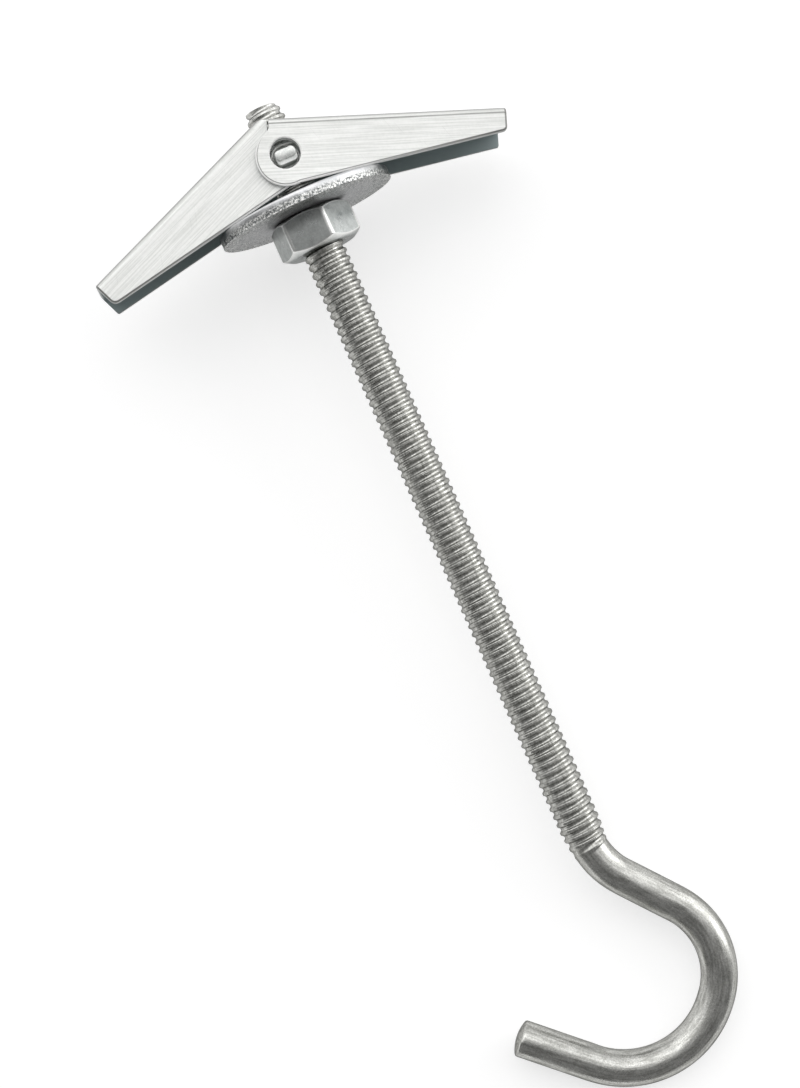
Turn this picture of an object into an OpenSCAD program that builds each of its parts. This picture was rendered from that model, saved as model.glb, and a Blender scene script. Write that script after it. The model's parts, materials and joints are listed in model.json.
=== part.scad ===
// Spring toggle bolt with a hook end: a threaded rod bent into a hook, a nut and a washer on it, and a
// pair of folded sheet wings that a wire spring throws open about a trunnion nut.
//
// Everything is drawn in the bolt's own frame: the origin is where the rod's axis meets the wings' pivot,
// X runs along the rod towards the hook, Y lies in the plane of the hook, and Z stands square to it.
// place() then lays the bolt on a table, where it rests on the washer's rim and the bowl of the hook.

/* [Rod] */
// Outside diameter of the thread, a quarter inch
thread_d = 6.3; // [5.8:0.05:6.35]
// Advance of the thread in one turn, a twentieth of an inch
pitch = 1.27; // [0.8:0.01:1.6]
// Depth of the thread from crest to root
thread_depth = 0.6; // [0.3:0.05:0.65]
// Diameter of the wire before its thread is rolled
wire_d = 5.45; // [5:0.05:5.7]
// Diameter in the bends, which draw the wire a little thinner
bend_d = 5.4; // [4.9:0.05:5.4]
// Free end beyond the pivot
stub = 8.35; // [7.5:0.05:14]
// Length over which the thread grows to its full size at the free end
lead = 3.6; // [1:0.1:4]
// Pivot to the end of the thread, where the first bend starts
shank = 107.9; // [60:0.1:160]
// Length over which the thread runs out
run_out = 1.6; // [0.5:0.1:3]

/* [Hook] */
// Radius of the bend that carries the hook off the rod's axis
neck_r = 11.7; // [8:0.1:16]
// Turn of that bend in degrees
neck_turn = 39; // [20:1:45]
// Straight length between the neck and the crown
ramp = 8.8; // [4:0.1:14]
// Radius of the crown
crown_r = 11.65; // [9:0.05:16]
// Turn of the crown in degrees
crown_turn = 80; // [60:1:90]
// Straight length between the crown and the bowl
land = 0.4; // [0.4:0.1:4]
// Radius of the bowl
bowl_r = 13.9; // [11:0.1:18]
// Turn of the bowl in degrees
bowl_turn = 92; // [80:1:110]
// Straight length at the hook's free end
tail = 11.75; // [4:0.05:16]
// Height of the dome on that end
tail_dome = 0.6; // [0.2:0.05:1]

/* [Nut and washer] */
// Nut across its flats, seven sixteenths of an inch
nut_af = 11.1; // [10.5:0.1:12]
// Height of the nut
nut_h = 5.7; // [4:0.1:6.5]
// How far the nut is turned about the rod, in degrees
nut_turn = 11; // [0:1:59]
// Outside diameter of the washer
washer_d = 26.6; // [20:0.1:32]
// Thickness of the washer
washer_t = 1.7; // [1:0.1:2.5]
// Hole in the washer
washer_hole = 7; // [6.6:0.1:8]
// Pivot to the face of the washer that looks at the wings
washer_x = 6.58; // [6.55:0.01:12]

/* [Sheet of the wings] */
// Thickness of the sheet
sheet = 1; // [0.8:0.05:1.2]
// Outer radius of the two folds
fold_r = 0.9; // [0.5:0.05:1.2]
// Inner radius of the two folds
fold_inner_r = 0.2; // [0.1:0.05:0.3]
// Hole for the trunnion's arm
pivot_hole = 4.5; // [4.4:0.1:5]
// Radius of the tips' corners at the free edge
tip_low_r = 1; // [0.2:0.1:1.5]
// Radius of the tips' corners at the web
tip_high_r = 0.4; // [0.1:0.1:1]

/* [Outer wing] */
// Width over the flanges
outer_w = 13.2; // [13.1:0.1:15]
// Pivot to the back of the web
outer_web = 5.17; // [5.15:0.01:5.2]
// Slope of the web when the wings stand open, in degrees
outer_slope = 20.5; // [20:0.5:25]
// Pivot to the free edge of the flanges
outer_edge = 4.5; // [4.2:0.05:4.6]
// Slope of the free edge when the wings stand open, in degrees
outer_droop = 9.3; // [7:0.1:10]
// Pivot to the tip, along the web
outer_reach = 32.2; // [20:0.1:40]
// Radius of the ears
outer_ear_r = 4.3; // [4:0.05:4.4]
// How far the middle of the ears sits off the pivot, away from the web
outer_ear_shift = 0.37; // [0:0.01:0.5]
// How far the web reaches past the pivot, away from the tip
outer_heel = 2.15; // [1.8:0.05:2.2]
// Radius between that end of the flanges and the ears
outer_fillet = 1.2; // [0.5:0.1:1.5]
// Width of the notch that lets the rod through the web
outer_notch_w = 7.7; // [7.4:0.1:7.8]
// Pivot to the end of that notch, along the web
outer_notch_end = 2.9; // [2.8:0.1:4]

/* [Inner wing] */
// Width over the flanges, which fit inside the other wing's
inner_w = 10.9; // [10.7:0.1:11]
// Pivot to the back of the web
inner_web = 6.4; // [6.35:0.05:6.6]
// Slope of the web when the wings stand open, in degrees
inner_slope = 22.4; // [22:0.1:25]
// Pivot to the free edge of the flanges
inner_edge = 4.05; // [3.9:0.05:4.05]
// Slope of the free edge when the wings stand open, in degrees
inner_droop = 10.9; // [8:0.1:11]
// Pivot to the tip, along the web
inner_reach = 32.6; // [20:0.1:40]
// Width of the slot that lets one ear over the trunnion's arm when the toggle is put together
slot_w = 4; // [3.4:0.1:4.4]
// Pivot to the middle of the slot's far end
slot_reach = 8.4; // [6:0.1:12]
// Slope of the slot against the web, in degrees
slot_slope = 7.5; // [4:0.5:10]
// Width of the notch that lets the rod through the web
inner_notch_w = 7; // [6.8:0.1:7.2]
// Pivot to the end of that notch, along the web
inner_notch_end = 1.8; // [1.7:0.1:3]

/* [Trunnion nut and spring] */
// How far the toggle is rolled about the rod, in degrees
toggle_roll = -4; // [-10:1:10]
// Diameter of the nut's barrel
barrel_d = 8.8; // [8:0.1:9]
// Length of the barrel along the rod
barrel_l = 4.4; // [3.5:0.1:4.4]
// Thickness of the barrel between the flats that carry the arms
barrel_w = 6.8; // [6.7:0.05:6.8]
// Width of the arms, square to the rod
arm_w = 3.1; // [2.4:0.1:3.2]
// Thickness of the arms, along the rod
arm_t = 2.1; // [1.5:0.1:2.4]
// Radius of the arms' long edges
arm_r = 0.6; // [0.2:0.1:0.9]
// Length over both arms
arm_span = 13.4; // [13.2:0.1:16]
// How far the arms sit off the middle of the wings' holes, towards the hook
arm_shift = 0.3; // [0:0.05:0.5]
// Diameter of the spring's wire
spring_d = 0.45; // [0.3:0.01:0.46]
// How far the spring's legs reach out under the webs
spring_reach = 9; // [6:0.1:12]

/* [Hidden] */

$fn = 64;
thread_gap = 0.05;  // radial play of the nuts on the thread
past = 1;           // how far a cut runs past the face that it opens
lap = 0.3;          // how far a straight of wire runs into the bend beside it
free_end_r = 2.5;   // radius of the rod's end face
nut_face = 0.9;     // width of the nut's chamfered faces, as a share of the width across its flats
steel = [0.80, 0.81, 0.82];
bright_steel = [0.88, 0.89, 0.90];
dark_steel = [0.62, 0.63, 0.62];

// The middle line of the hook, in the plane of the rod
neck_end = [shank + neck_r * sin(neck_turn), neck_r * (1 - cos(neck_turn))];
ramp_end = neck_end + ramp * [cos(neck_turn), sin(neck_turn)];
crown_mid = ramp_end + crown_r * [sin(neck_turn), -cos(neck_turn)];
crown_drop = crown_turn - neck_turn;  // how far the wire points back down at the end of the crown
bowl_mid = crown_mid + (crown_r - bowl_r) * [sin(crown_drop), cos(crown_drop)]
  + land * [cos(crown_drop), -sin(crown_drop)];
hook_far = bowl_mid.x + bowl_r;

// End of the inner wing's flanges at the rod, which stands just clear of the outer wing's web
inner_heel = [[-inner_web, -0.5], [-5.4, -1.72], [-3.9, -0.4]];
heel_r = 0.35;

// The bolt lies on the washer's rim and on the bowl, so its axis slopes down towards the hook
washer_back = washer_x + washer_t;
rest_span = hook_far - washer_back;
rest_tilt = acos(bend_d / 2 / norm([washer_d / 2, rest_span])) - atan2(rest_span, washer_d / 2);
rest_roll = -0.9;  // the roll about the rod at which it balances there
rest_lift = hook_far * sin(rest_tilt) + bend_d / 2;
rest_middle = [(hook_far + bend_d / 2 - stub) / 2 * cos(rest_tilt), (outer_reach - inner_reach) / 2];

// ---- Helpers ----

// Lays a shape that is drawn in the bolt's frame on the table
module place() {
  translate([-rest_middle.x, -rest_middle.y, rest_lift]) rotate([rest_roll, rest_tilt, 0]) children();
}

// Turns a shape's own X, Y and Z to the bolt's Y, Z and X
module along_rod() {
  rotate([90, 0, 90]) children();
}

// Points of the arc that rounds the corner b between a and c to radius r
function corner(a, b, c, r, steps = 6) =
  let (
    u = (a - b) / norm(a - b),
    v = (c - b) / norm(c - b),
    half = acos(u * v) / 2,
    middle = b + (u + v) / norm(u + v) * r / sin(half),
    from = b + u * r / tan(half) - middle,
    turn = (cross(u, v) > 0 ? -1 : 1) * (180 - 2 * half)
  )
  [for (i = [0:steps]) let (t = turn * i / steps) middle + from * cos(t) + [-from.y, from.x] * sin(t)];

// Outline through points, each given as [x, y, radius of its corner]
function rounded(points) = [
  for (i = [0:len(points) - 1])
    let (
      n = len(points),
      b = points[i],
      a = points[(i + n - 1) % n],
      c = points[(i + 1) % n]
    )
    each b[2] > 0 ? corner([a.x, a.y], [b.x, b.y], [c.x, c.y], b[2]) : [[b.x, b.y]]
];

// ---- Rod and hook ----

// A straight of wire along X; what follows is drawn at its end
module straight(length) {
  translate([-lap, 0, 0]) along_rod() cylinder(d = wire_d, h = length + 2 * lap);
  translate([length, 0, 0]) children();
}

// A bend of wire that starts along X and turns towards +Y, or towards -Y where turn is negative
module bend(r, turn) {
  mirror([0, turn < 0 ? 1 : 0, 0])
    translate([0, r, 0]) rotate(-90) rotate_extrude(angle = abs(turn)) translate([r, 0]) circle(d = bend_d);
  translate([r * sin(abs(turn)), sign(turn) * r * (1 - cos(turn)), 0]) rotate(turn) children();
}

// The straight at the hook's free end, whose end face is slightly domed
module hook_end() {
  r = wire_d / 2;
  edge_r = 0.3;
  dome_r = (r * r + tail_dome * tail_dome) / (2 * tail_dome);
  rim = asin(r / dome_r);
  along_rod() rotate_extrude() polygon(rounded([
    [0, -lap, 0],
    [r, -lap, 0],
    [r, tail - tail_dome, edge_r],
    for (a = [rim * 2 / 3, rim / 3, 0]) [dome_r * sin(a), tail - dome_r * (1 - cos(a)), 0]
  ]));
}

// The thread stands here as rings of its own depth and spacing, one for each turn
module threaded_shank() {
  r = thread_d / 2;
  turns = floor((stub + shank - run_out) / pitch);
  crest_r = function (x) min(r, free_end_r + (x + stub) * (r - free_end_r) / lead);
  along_rod() rotate_extrude() polygon([
    [0, -stub],
    for (i = [0:turns - 1]) let (x = i * pitch - stub) each [
      [crest_r(x), x],
      [crest_r(x) - thread_depth, x + pitch / 2]
    ],
    [r, turns * pitch - stub],
    [r, shank - run_out],
    [wire_d / 2, shank],
    [wire_d / 2, shank + lap],
    [0, shank + lap]
  ]);
}

module hook_bolt() {
  color(steel) {
    threaded_shank();
    translate([shank, 0, 0])
      bend(neck_r, neck_turn) straight(ramp)
        bend(crown_r, -crown_turn) straight(land)
          bend(bowl_r, -bowl_turn) hook_end();
  }
}

// ---- Nut and washer ----

// The threaded hole of a nut of height h, with a countersink at each end
module nut_bore(h) {
  r = thread_d / 2 + thread_gap;
  sink = 0.35;
  rotate_extrude() polygon([
    [0, -past],
    [r + sink + past, -past],
    [r, sink],
    [r, h - sink],
    [r + sink + past, h + past],
    [0, h + past]
  ]);
}

module hex_nut() {
  across_corners = nut_af / cos(30);
  face_r = nut_face * nut_af / 2;
  drop = (across_corners / 2 - face_r) * tan(30);
  color(dark_steel) translate([washer_back, 0, 0]) along_rod() rotate(nut_turn) difference() {
    intersection() {
      cylinder(d = across_corners, h = nut_h, $fn = 6);
      rotate_extrude() polygon([
        [0, 0],
        [face_r, 0],
        [across_corners / 2, drop],
        [across_corners / 2, nut_h - drop],
        [face_r, nut_h],
        [0, nut_h]
      ]);
    }
    nut_bore(nut_h);
  }
}

// Stamped washer: each rim is rolled over on the side where the punch or die first met it
module flat_washer() {
  roll = 0.4;
  color(bright_steel) translate([washer_x, 0, 0]) along_rod() rotate_extrude() polygon(rounded([
    [washer_hole / 2, 0, 0],
    [washer_d / 2, 0, roll],
    [washer_d / 2, washer_t, 0],
    [washer_hole / 2, washer_t, roll]
  ]));
}

// ---- Trunnion nut ----

module rounded_bar(size, r, length) {
  linear_extrude(length, center = true) polygon(rounded([
    for (s = [[-1, -1], [1, -1], [1, 1], [-1, 1]]) [s.x * size.x / 2, s.y * size.y / 2, r]
  ]));
}

module trunnion_nut() {
  color(dark_steel) rotate([toggle_roll, 0, 0]) difference() {
    union() {
      intersection() {
        along_rod() cylinder(d = barrel_d, h = barrel_l, center = true);
        cube([barrel_l, barrel_d, barrel_w], center = true);
      }
      translate([arm_shift, 0, 0]) rounded_bar([arm_t, arm_w], arm_r, arm_span);
    }
    translate([-barrel_l / 2, 0, 0]) along_rod() nut_bore(barrel_l);
  }
}

// ---- Spring ----

// One wire with two coils: each free leg lies under the outer web, goes once round an arm of the trunnion
// and runs out under the inner web, where a bridge joins the two halves.

coil_mid = [arm_shift, 0];
coil_play = 0.15;    // room between a coil and the edges of the arm
coil_gap = 0.03;     // room beside a coil, at the barrel and at the next turn
web_gap = 0.05;      // room between a leg and its web
coil_steps = 28;
bridge_r = 0.9;      // radius of the turn into the bridge
bridge_step = 22.5;  // degrees between the points of that turn
coil_r = norm([arm_w / 2 - arm_r, arm_t / 2 - arm_r]) + arm_r + spring_d / 2 + coil_play;
coil_inner_z = barrel_w / 2 + spring_d / 2 + coil_gap;
coil_outer_z = coil_inner_z + spring_d + coil_gap;
under_web = sheet + spring_d / 2 + web_gap;

function unit(v) = v / norm(v);

// Point s out along a web and n off the pivot towards it, where the web slopes on side 1 (+Y) or -1 (-Y)
function on_web(s, n, slope, side) =
  [s * sin(slope) - n * cos(slope), side * (s * cos(slope) + n * sin(slope))];

outer_leg = on_web(spring_reach, outer_web - under_web, outer_slope, 1);
inner_leg = on_web(spring_reach, inner_web - under_web, inner_slope, -1);

// Angle about the coil's middle at which a leg that ends at p touches the coil, on the side off the hook
function touch_angle(p, side) =
  let (v = p - coil_mid)
  side > 0 ? atan2(v.y, v.x) + acos(coil_r / norm(v)) : 360 + atan2(v.y, v.x) - acos(coil_r / norm(v));

coil_start = touch_angle(outer_leg, 1);
coil_turn = 360 + touch_angle(inner_leg, -1) - coil_start;

function on_coil(part) =
  let (a = coil_start + coil_turn * part, p = coil_mid + coil_r * [cos(a), sin(a)])
  [p.x, p.y, coil_outer_z + (coil_inner_z - coil_outer_z) * part];

// Rounds the inner leg's end over to the bridge
function bridge_corner(a) =
  let (u = unit(inner_leg - [on_coil(1).x, on_coil(1).y]), p = inner_leg + u * bridge_r * (sin(a) - 1))
  [p.x, p.y, coil_inner_z - bridge_r * (1 - cos(a))];

spring_half = [
  [outer_leg.x, outer_leg.y, coil_outer_z],
  for (i = [0:coil_steps]) on_coil(i / coil_steps),
  for (a = [0:bridge_step:90]) bridge_corner(a)
];
spring_path = [
  each spring_half,
  for (i = [len(spring_half) - 1:-1:0]) [spring_half[i].x, spring_half[i].y, -spring_half[i].z]
];

// Round wire along a path of points; each ring is turned no more than the path's own bend
module wire_along(path, r, sides = 8) {
  last = len(path) - 1;
  headings = [for (i = [0:last]) unit(path[min(i + 1, last)] - path[max(i - 1, 0)])];
  square_to = function (v, heading) unit(v - (v * heading) * heading);
  normals = [
    for (i = 0, n = square_to([0, 0, 1], headings[0]); i <= last;
         i = i + 1, n = i <= last ? square_to(n, headings[i]) : n) n
  ];
  polyhedron(
    points = [
      for (i = [0:last], k = [0:sides - 1])
        let (a = 360 * k / sides)
        path[i] + r * (cos(a) * normals[i] + sin(a) * cross(headings[i], normals[i]))
    ],
    faces = [
      [for (k = [0:sides - 1]) k],
      [for (k = [sides - 1:-1:0]) last * sides + k],
      for (i = [0:last - 1], k = [0:sides - 1])
        let (n = (k + 1) % sides)
        [i * sides + n, i * sides + k, (i + 1) * sides + k, (i + 1) * sides + n]
    ]
  );
}

module torsion_spring() {
  color(dark_steel) rotate([toggle_roll, 0, 0]) wire_along(spring_path, spring_d / 2);
}

// ---- Wings ----

// Each wing is drawn about its pivot, the Z axis: +Y runs out along its web, and the web lies towards -X

// A wide U whose two corners at x = back are rounded
module fold_profile(width, back, r) {
  depth = outer_web + inner_web;
  translate([back + r, -width / 2]) square([depth, width]);
  translate([back, r - width / 2]) square([depth, width - 2 * r]);
  for (side = [-1, 1]) translate([back + r, side * (width / 2 - r)]) circle(r);
}

// The folded sheet before its outline is cut, open towards +X
module channel(width, web, reach) {
  translate([0, reach + past, 0]) rotate([90, 0, 0]) linear_extrude(2 * reach) difference() {
    fold_profile(width, -web, fold_r);
    fold_profile(width - 2 * sheet, sheet - web, fold_inner_r);
  }
}

// Outline of a flange: its heel, then the free edge out to the tip, and back along the web
module blade(web, edge, taper, reach, heel) {
  free_edge = [edge * cos(taper), edge * sin(taper), 0];
  tip_low = [(edge - reach * sin(taper)) / cos(taper), reach, tip_low_r];
  tip_high = [-web, reach, tip_high_r];
  polygon(rounded([each heel, free_edge, tip_low, tip_high]));
}

// Fills the corner between the line y = -drop and an ear of radius r about [shift, 0]
module ear_fillet(shift, r, drop, fillet) {
  middle = [shift - sqrt(pow(r + fillet, 2) - pow(drop + fillet, 2)), -drop - fillet];
  ear = [shift, 0];
  difference() {
    polygon([middle, ear + (middle - ear) * r / (r + fillet), ear, [middle.x, -drop]]);
    translate(middle) circle(fillet);
  }
}

// Cuts a web open round the rod, up to y = end, in a U of the given width
module notch(width, web, end) {
  depth = sheet + 2 * past;
  translate([-web - past, end - width / 2, 0]) rotate([0, 90, 0]) cylinder(d = width, h = depth);
  translate([-web - past, -outer_reach, -width / 2]) cube([depth, outer_reach + end - width / 2, width]);
}

module outer_outline() {
  blade(outer_web, outer_edge, outer_slope - outer_droop, outer_reach,
        [[-outer_web, -outer_heel, 0], [-outer_ear_r / 2, -outer_heel, 0]]);
  translate([outer_ear_shift, 0]) circle(outer_ear_r);
  ear_fillet(outer_ear_shift, outer_ear_r, outer_heel, outer_fillet);
}

module inner_outline() {
  blade(inner_web, inner_edge, inner_slope - inner_droop, inner_reach,
        [[-inner_web, inner_heel[0].y, heel_r], [inner_heel[1].x, inner_heel[1].y, heel_r],
         [inner_heel[2].x, inner_heel[2].y, 0]]);
  circle(inner_edge);
}

module wing_outer() {
  color(bright_steel) rotate([toggle_roll, 0, 0]) rotate(-outer_slope) difference() {
    intersection() {
      channel(outer_w, outer_web, outer_reach);
      linear_extrude(outer_w + 2 * past, center = true) outer_outline();
    }
    cylinder(d = pivot_hole, h = outer_w + 2 * past, center = true);
    notch(outer_notch_w, outer_web, outer_notch_end);
  }
}

module wing_inner() {
  color(bright_steel) rotate([toggle_roll, 0, 0]) mirror([0, 1, 0]) rotate(-inner_slope) difference() {
    intersection() {
      channel(inner_w, inner_web, inner_reach);
      linear_extrude(inner_w + 2 * past, center = true) inner_outline();
    }
    cylinder(d = pivot_hole, h = inner_w + 2 * past, center = true);
    notch(inner_notch_w, inner_web, inner_notch_end);
    translate([0, 0, -inner_w / 2 - past]) rotate(slot_slope) {
      translate([-slot_w / 2, 0, 0]) cube([slot_w, slot_reach, sheet + 2 * past]);
      translate([0, slot_reach, 0]) cylinder(d = slot_w, h = sheet + 2 * past);
    }
  }
}

place() hook_bolt();
place() hex_nut();
place() flat_washer();
place() trunnion_nut();
place() torsion_spring();
place() wing_outer();
place() wing_inner();
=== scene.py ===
"""Looks of a spring toggle bolt with a hook end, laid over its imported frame.

Shapes are worked out in millimetres in the bolt's own frame: the origin is where the rod's axis meets the
wings' pivot, X runs along the rod to the hook, Y lies in the plane of the hook and Z stands square to it.
Lay carries them to the row frame, in metres. Each surface is a whole numpy array; the formulas are given
in words beside it.
"""

import json
import logging
from dataclasses import dataclass, field
from enum import Enum

import bpy
import numpy as np
from mathutils import Matrix, Vector
from mathutils.geometry import delaunay_2d_cdt

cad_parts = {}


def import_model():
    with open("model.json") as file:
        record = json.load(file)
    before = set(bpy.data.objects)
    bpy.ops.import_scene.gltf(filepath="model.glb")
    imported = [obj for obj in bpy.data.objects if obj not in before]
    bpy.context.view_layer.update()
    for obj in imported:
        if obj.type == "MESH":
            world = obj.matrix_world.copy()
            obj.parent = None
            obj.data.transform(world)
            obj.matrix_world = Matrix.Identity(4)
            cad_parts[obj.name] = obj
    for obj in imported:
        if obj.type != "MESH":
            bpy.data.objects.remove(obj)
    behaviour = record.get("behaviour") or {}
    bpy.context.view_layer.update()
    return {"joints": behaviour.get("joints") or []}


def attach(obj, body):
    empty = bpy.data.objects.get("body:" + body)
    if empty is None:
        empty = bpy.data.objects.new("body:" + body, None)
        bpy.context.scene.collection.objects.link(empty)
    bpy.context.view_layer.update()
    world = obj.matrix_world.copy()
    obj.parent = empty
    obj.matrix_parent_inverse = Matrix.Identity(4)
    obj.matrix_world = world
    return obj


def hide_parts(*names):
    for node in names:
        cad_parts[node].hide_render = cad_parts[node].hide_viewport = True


LOG = logging.getLogger("toggle_bolt")
MM = 0.001
TURN = 2 * np.pi
WELD = 1e-5  # points closer than this, in millimetres, are one point
TOGGLE_ROLL = -4.0  # how far the toggle is rolled about the rod as it lies, in degrees

Colour = tuple[float, float, float]
Socket = bpy.types.NodeSocket


class Body(Enum):
    """The bodies of the frame that pieces ride on."""

    ROD = "rod"
    LOCKNUT = "locknut"
    TOGGLE = "toggle"
    OUTER_WING = "outer_wing"
    INNER_WING = "inner_wing"


class Slot(Enum):
    """The record's material slots."""

    ROD = "plated_rod"
    NUT = "plated_nut"
    WASHER = "plated_washer"
    SHEET = "plated_sheet"
    SPRING = "spring_wire"


def turn_about_x(points: np.ndarray, degrees: float) -> np.ndarray:
    """Points turned about the rod's axis."""
    c, s = np.cos(np.radians(degrees)), np.sin(np.radians(degrees))
    return points @ np.array([[1, 0, 0], [0, c, s], [0, -s, c]])


def turn_about_z(points: np.ndarray, degrees: float) -> np.ndarray:
    """Points turned about the axis of the pivot."""
    c, s = np.cos(np.radians(degrees)), np.sin(np.radians(degrees))
    return points @ np.array([[c, s, 0], [-s, c, 0], [0, 0, 1]])


@dataclass(frozen=True)
class Lay:
    """Where the bolt lies.

    Attributes:
        pivot: the pivot in metres, in the row frame.
        axes: the bolt's X, Y and Z in the row frame, one to a row.
        roll: how far the toggle is rolled about the rod, in degrees.
    """

    pivot: np.ndarray
    axes: np.ndarray
    roll: float

    @classmethod
    def of(cls, joints: list[dict], roll: float) -> "Lay":
        """Reads the lay from the frame's joints.

        The nut's travel is the bolt's X. The inner wing's hinge is the toggle's Z, which stands rolled
        about X, so the bolt's own Y and Z come from turning it back.

        Args:
            joints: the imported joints.
            roll: how far the toggle is rolled about the rod, in degrees.

        Returns:
            The lay.
        """
        by_name = {joint["name"]: joint for joint in joints}
        along = np.array(by_name["nut_travel"]["axis"], float)
        hinge = np.array(by_name["inner_fold"]["axis"], float)
        side = np.cross(hinge, along)
        c, s = np.cos(np.radians(roll)), np.sin(np.radians(roll))
        axes = np.array([along, c * side - s * hinge, s * side + c * hinge])
        return cls(np.array(by_name["outer_fold"]["pos_m"], float), axes, roll)

    def directions(self, vectors: np.ndarray, rolled: bool = False) -> np.ndarray:
        """Directions of the bolt's frame, or of the rolled toggle's, in the row frame."""
        return (turn_about_x(vectors, self.roll) if rolled else vectors) @ self.axes

    def points(self, points: np.ndarray, rolled: bool = False) -> np.ndarray:
        """Millimetres in the bolt's frame, or in the rolled toggle's, as metres in the row frame."""
        return self.pivot + MM * self.directions(points, rolled)


# ---- Meshes ----

CAP_RINGS = 4  # rings of the cap that closes a wire's end
CAP_RISE = 0.5  # how far that cap stands out, as a share of the wire's radius


@dataclass
class Surface:
    """A mesh being worked out.

    Attributes:
        points: the points in millimetres.
        faces: the faces, as indices of their points.
        stock: where each point was on the straight wire or flat sheet that the piece was bent from, so
            that grain follows the metal round its bends.
        marks: for each mark of a finish, how strongly it shows at each point, from 0 to 1.
        normals: the normals at the points, where they are known exactly.
    """

    points: np.ndarray
    faces: list[list[int]]
    stock: np.ndarray
    marks: dict[str, np.ndarray] = field(default_factory=dict)
    normals: np.ndarray | None = None


def wrapped(index: np.ndarray) -> np.ndarray:
    """A grid of point indices with its first column repeated after its last, which closes it."""
    return np.concatenate([index, index[:, :1]], axis=1)


def quads(index: np.ndarray) -> np.ndarray:
    """Quads of a grid; they face outwards where columns turn right-handed about the rows' advance."""
    corners = [index[:-1, :-1], index[:-1, 1:], index[1:, 1:], index[1:, :-1]]
    return np.stack(corners, axis=-1).reshape(-1, 4)


def welded(surface: Surface) -> Surface:
    """Makes doubled points one.

    Args:
        surface: the surface; its normals are not kept.

    Returns:
        The welded surface, without the faces that the welding empties.
    """
    cells = np.round(surface.points / WELD).astype(np.int64)
    _, kept, now = np.unique(cells, axis=0, return_index=True, return_inverse=True)
    now = now.reshape(-1).tolist()
    faces = [list(dict.fromkeys(now[point] for point in face)) for face in surface.faces]
    marks = {key: values[kept] for key, values in surface.marks.items()}
    faces = [face for face in faces if len(face) > 2]
    return Surface(surface.points[kept], faces, surface.stock[kept], marks)


def joined(parts: list[Surface]) -> Surface:
    """Several closed surfaces as one.

    Args:
        parts: the surfaces; their marks and normals are not kept.

    Returns:
        The one surface.
    """
    starts = np.cumsum([0] + [len(part.points) for part in parts[:-1]])
    placed = zip(parts, starts.tolist())
    faces = [[point + first for point in face] for part, first in placed for face in part.faces]
    points = np.concatenate([part.points for part in parts])
    return Surface(points, faces, np.concatenate([part.stock for part in parts]))


def outward(points: np.ndarray, faces: list[list[int]]) -> list[list[int]]:
    """Turns a closed surface's faces outwards.

    Six times the volume that they enclose is the sum of the triple products of their triangles' corners.

    Args:
        points: the points.
        faces: the faces, all of them turned one way.

    Returns:
        The faces, turned over if the volume comes out negative.
    """
    fans = np.array([(f[0], f[i], f[i + 1]) for f in faces for i in range(1, len(f) - 1)])
    a, b, c = (points[fans[:, k]] for k in range(3))
    volume = np.einsum("ij,ij->", a, np.cross(b, c))
    return [face[::-1] for face in faces] if volume < 0 else faces


def rounded(corners: np.ndarray, cut_back: list[float], steps: int = 5) -> np.ndarray:
    """A profile, or one profile for each angle, with its corners rounded.

    Each corner gives way to a quadratic curve that leaves one side a given length short of the corner
    and meets the other side as far past it.

    Args:
        corners: the profile's corners in order, with two numbers in the last axis.
        cut_back: how far each corner is cut back; 0 keeps it sharp.
        steps: points on a rounded corner.

    Returns:
        The profile's points; the last corner's neighbour is the first.
    """
    t = np.linspace(0, 1, steps).reshape((-1,) + (1,) * (corners.ndim - 1))
    pieces = []
    for k, (corner, r) in enumerate(zip(corners, cut_back)):
        if r == 0:
            pieces.append(corner[None])
            continue
        back, ahead = corners[k - 1] - corner, corners[(k + 1) % len(corners)] - corner
        start = corner + r * back / np.linalg.norm(back, axis=-1, keepdims=True)
        end = corner + r * ahead / np.linalg.norm(ahead, axis=-1, keepdims=True)
        pieces.append((1 - t) ** 2 * start + 2 * t * (1 - t) * corner + t**2 * end)
    return np.concatenate(pieces)


def arc(middle: tuple[float, float], r: float, start: float, end: float, steps: int) -> np.ndarray:
    """Points of an arc between two angles in degrees."""
    angle = np.radians(np.linspace(start, end, steps))
    return np.array(middle) + r * np.stack([np.cos(angle), np.sin(angle)], axis=-1)


def circle(middle: tuple[float, float], r: float, steps: int) -> np.ndarray:
    """Points of a whole circle, without the first one again at its end."""
    return arc(middle, r, 0, 360 - 360 / steps, steps)


def by_angle(loop: list[tuple[np.ndarray | float, np.ndarray | float]], angle: np.ndarray) -> np.ndarray:
    """Corners (x, radius) of a turned profile, each one number or one for each angle, as one array."""
    return np.array([np.stack(np.broadcast_arrays(x, r, angle)[:2], axis=-1) for x, r in loop])


def turned(profile: np.ndarray, angle: np.ndarray) -> Surface:
    """A closed profile carried round X.

    Args:
        profile: rows of (x, radius) for each angle, or for all angles alike, in a closed loop.
        angle: the angles of the columns, in radians.

    Returns:
        The closed surface. Its stock is (x, way round, radius), so streaks can run round the piece.
    """
    loop = np.concatenate([profile, profile[:1]])
    x, r = np.broadcast_arrays(loop[..., 0], loop[..., 1])
    x, r = np.broadcast_to(x, (len(loop), len(angle))), np.broadcast_to(r, (len(loop), len(angle)))
    points = np.stack([x, r * np.cos(angle), r * np.sin(angle)], axis=-1).reshape(-1, 3)
    stock = np.stack([x, 0 * x + angle * r.max(), r], axis=-1).reshape(-1, 3)
    index = wrapped(np.arange(len(points)).reshape(x.shape))
    return welded(Surface(points, quads(index).tolist(), stock))


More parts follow.
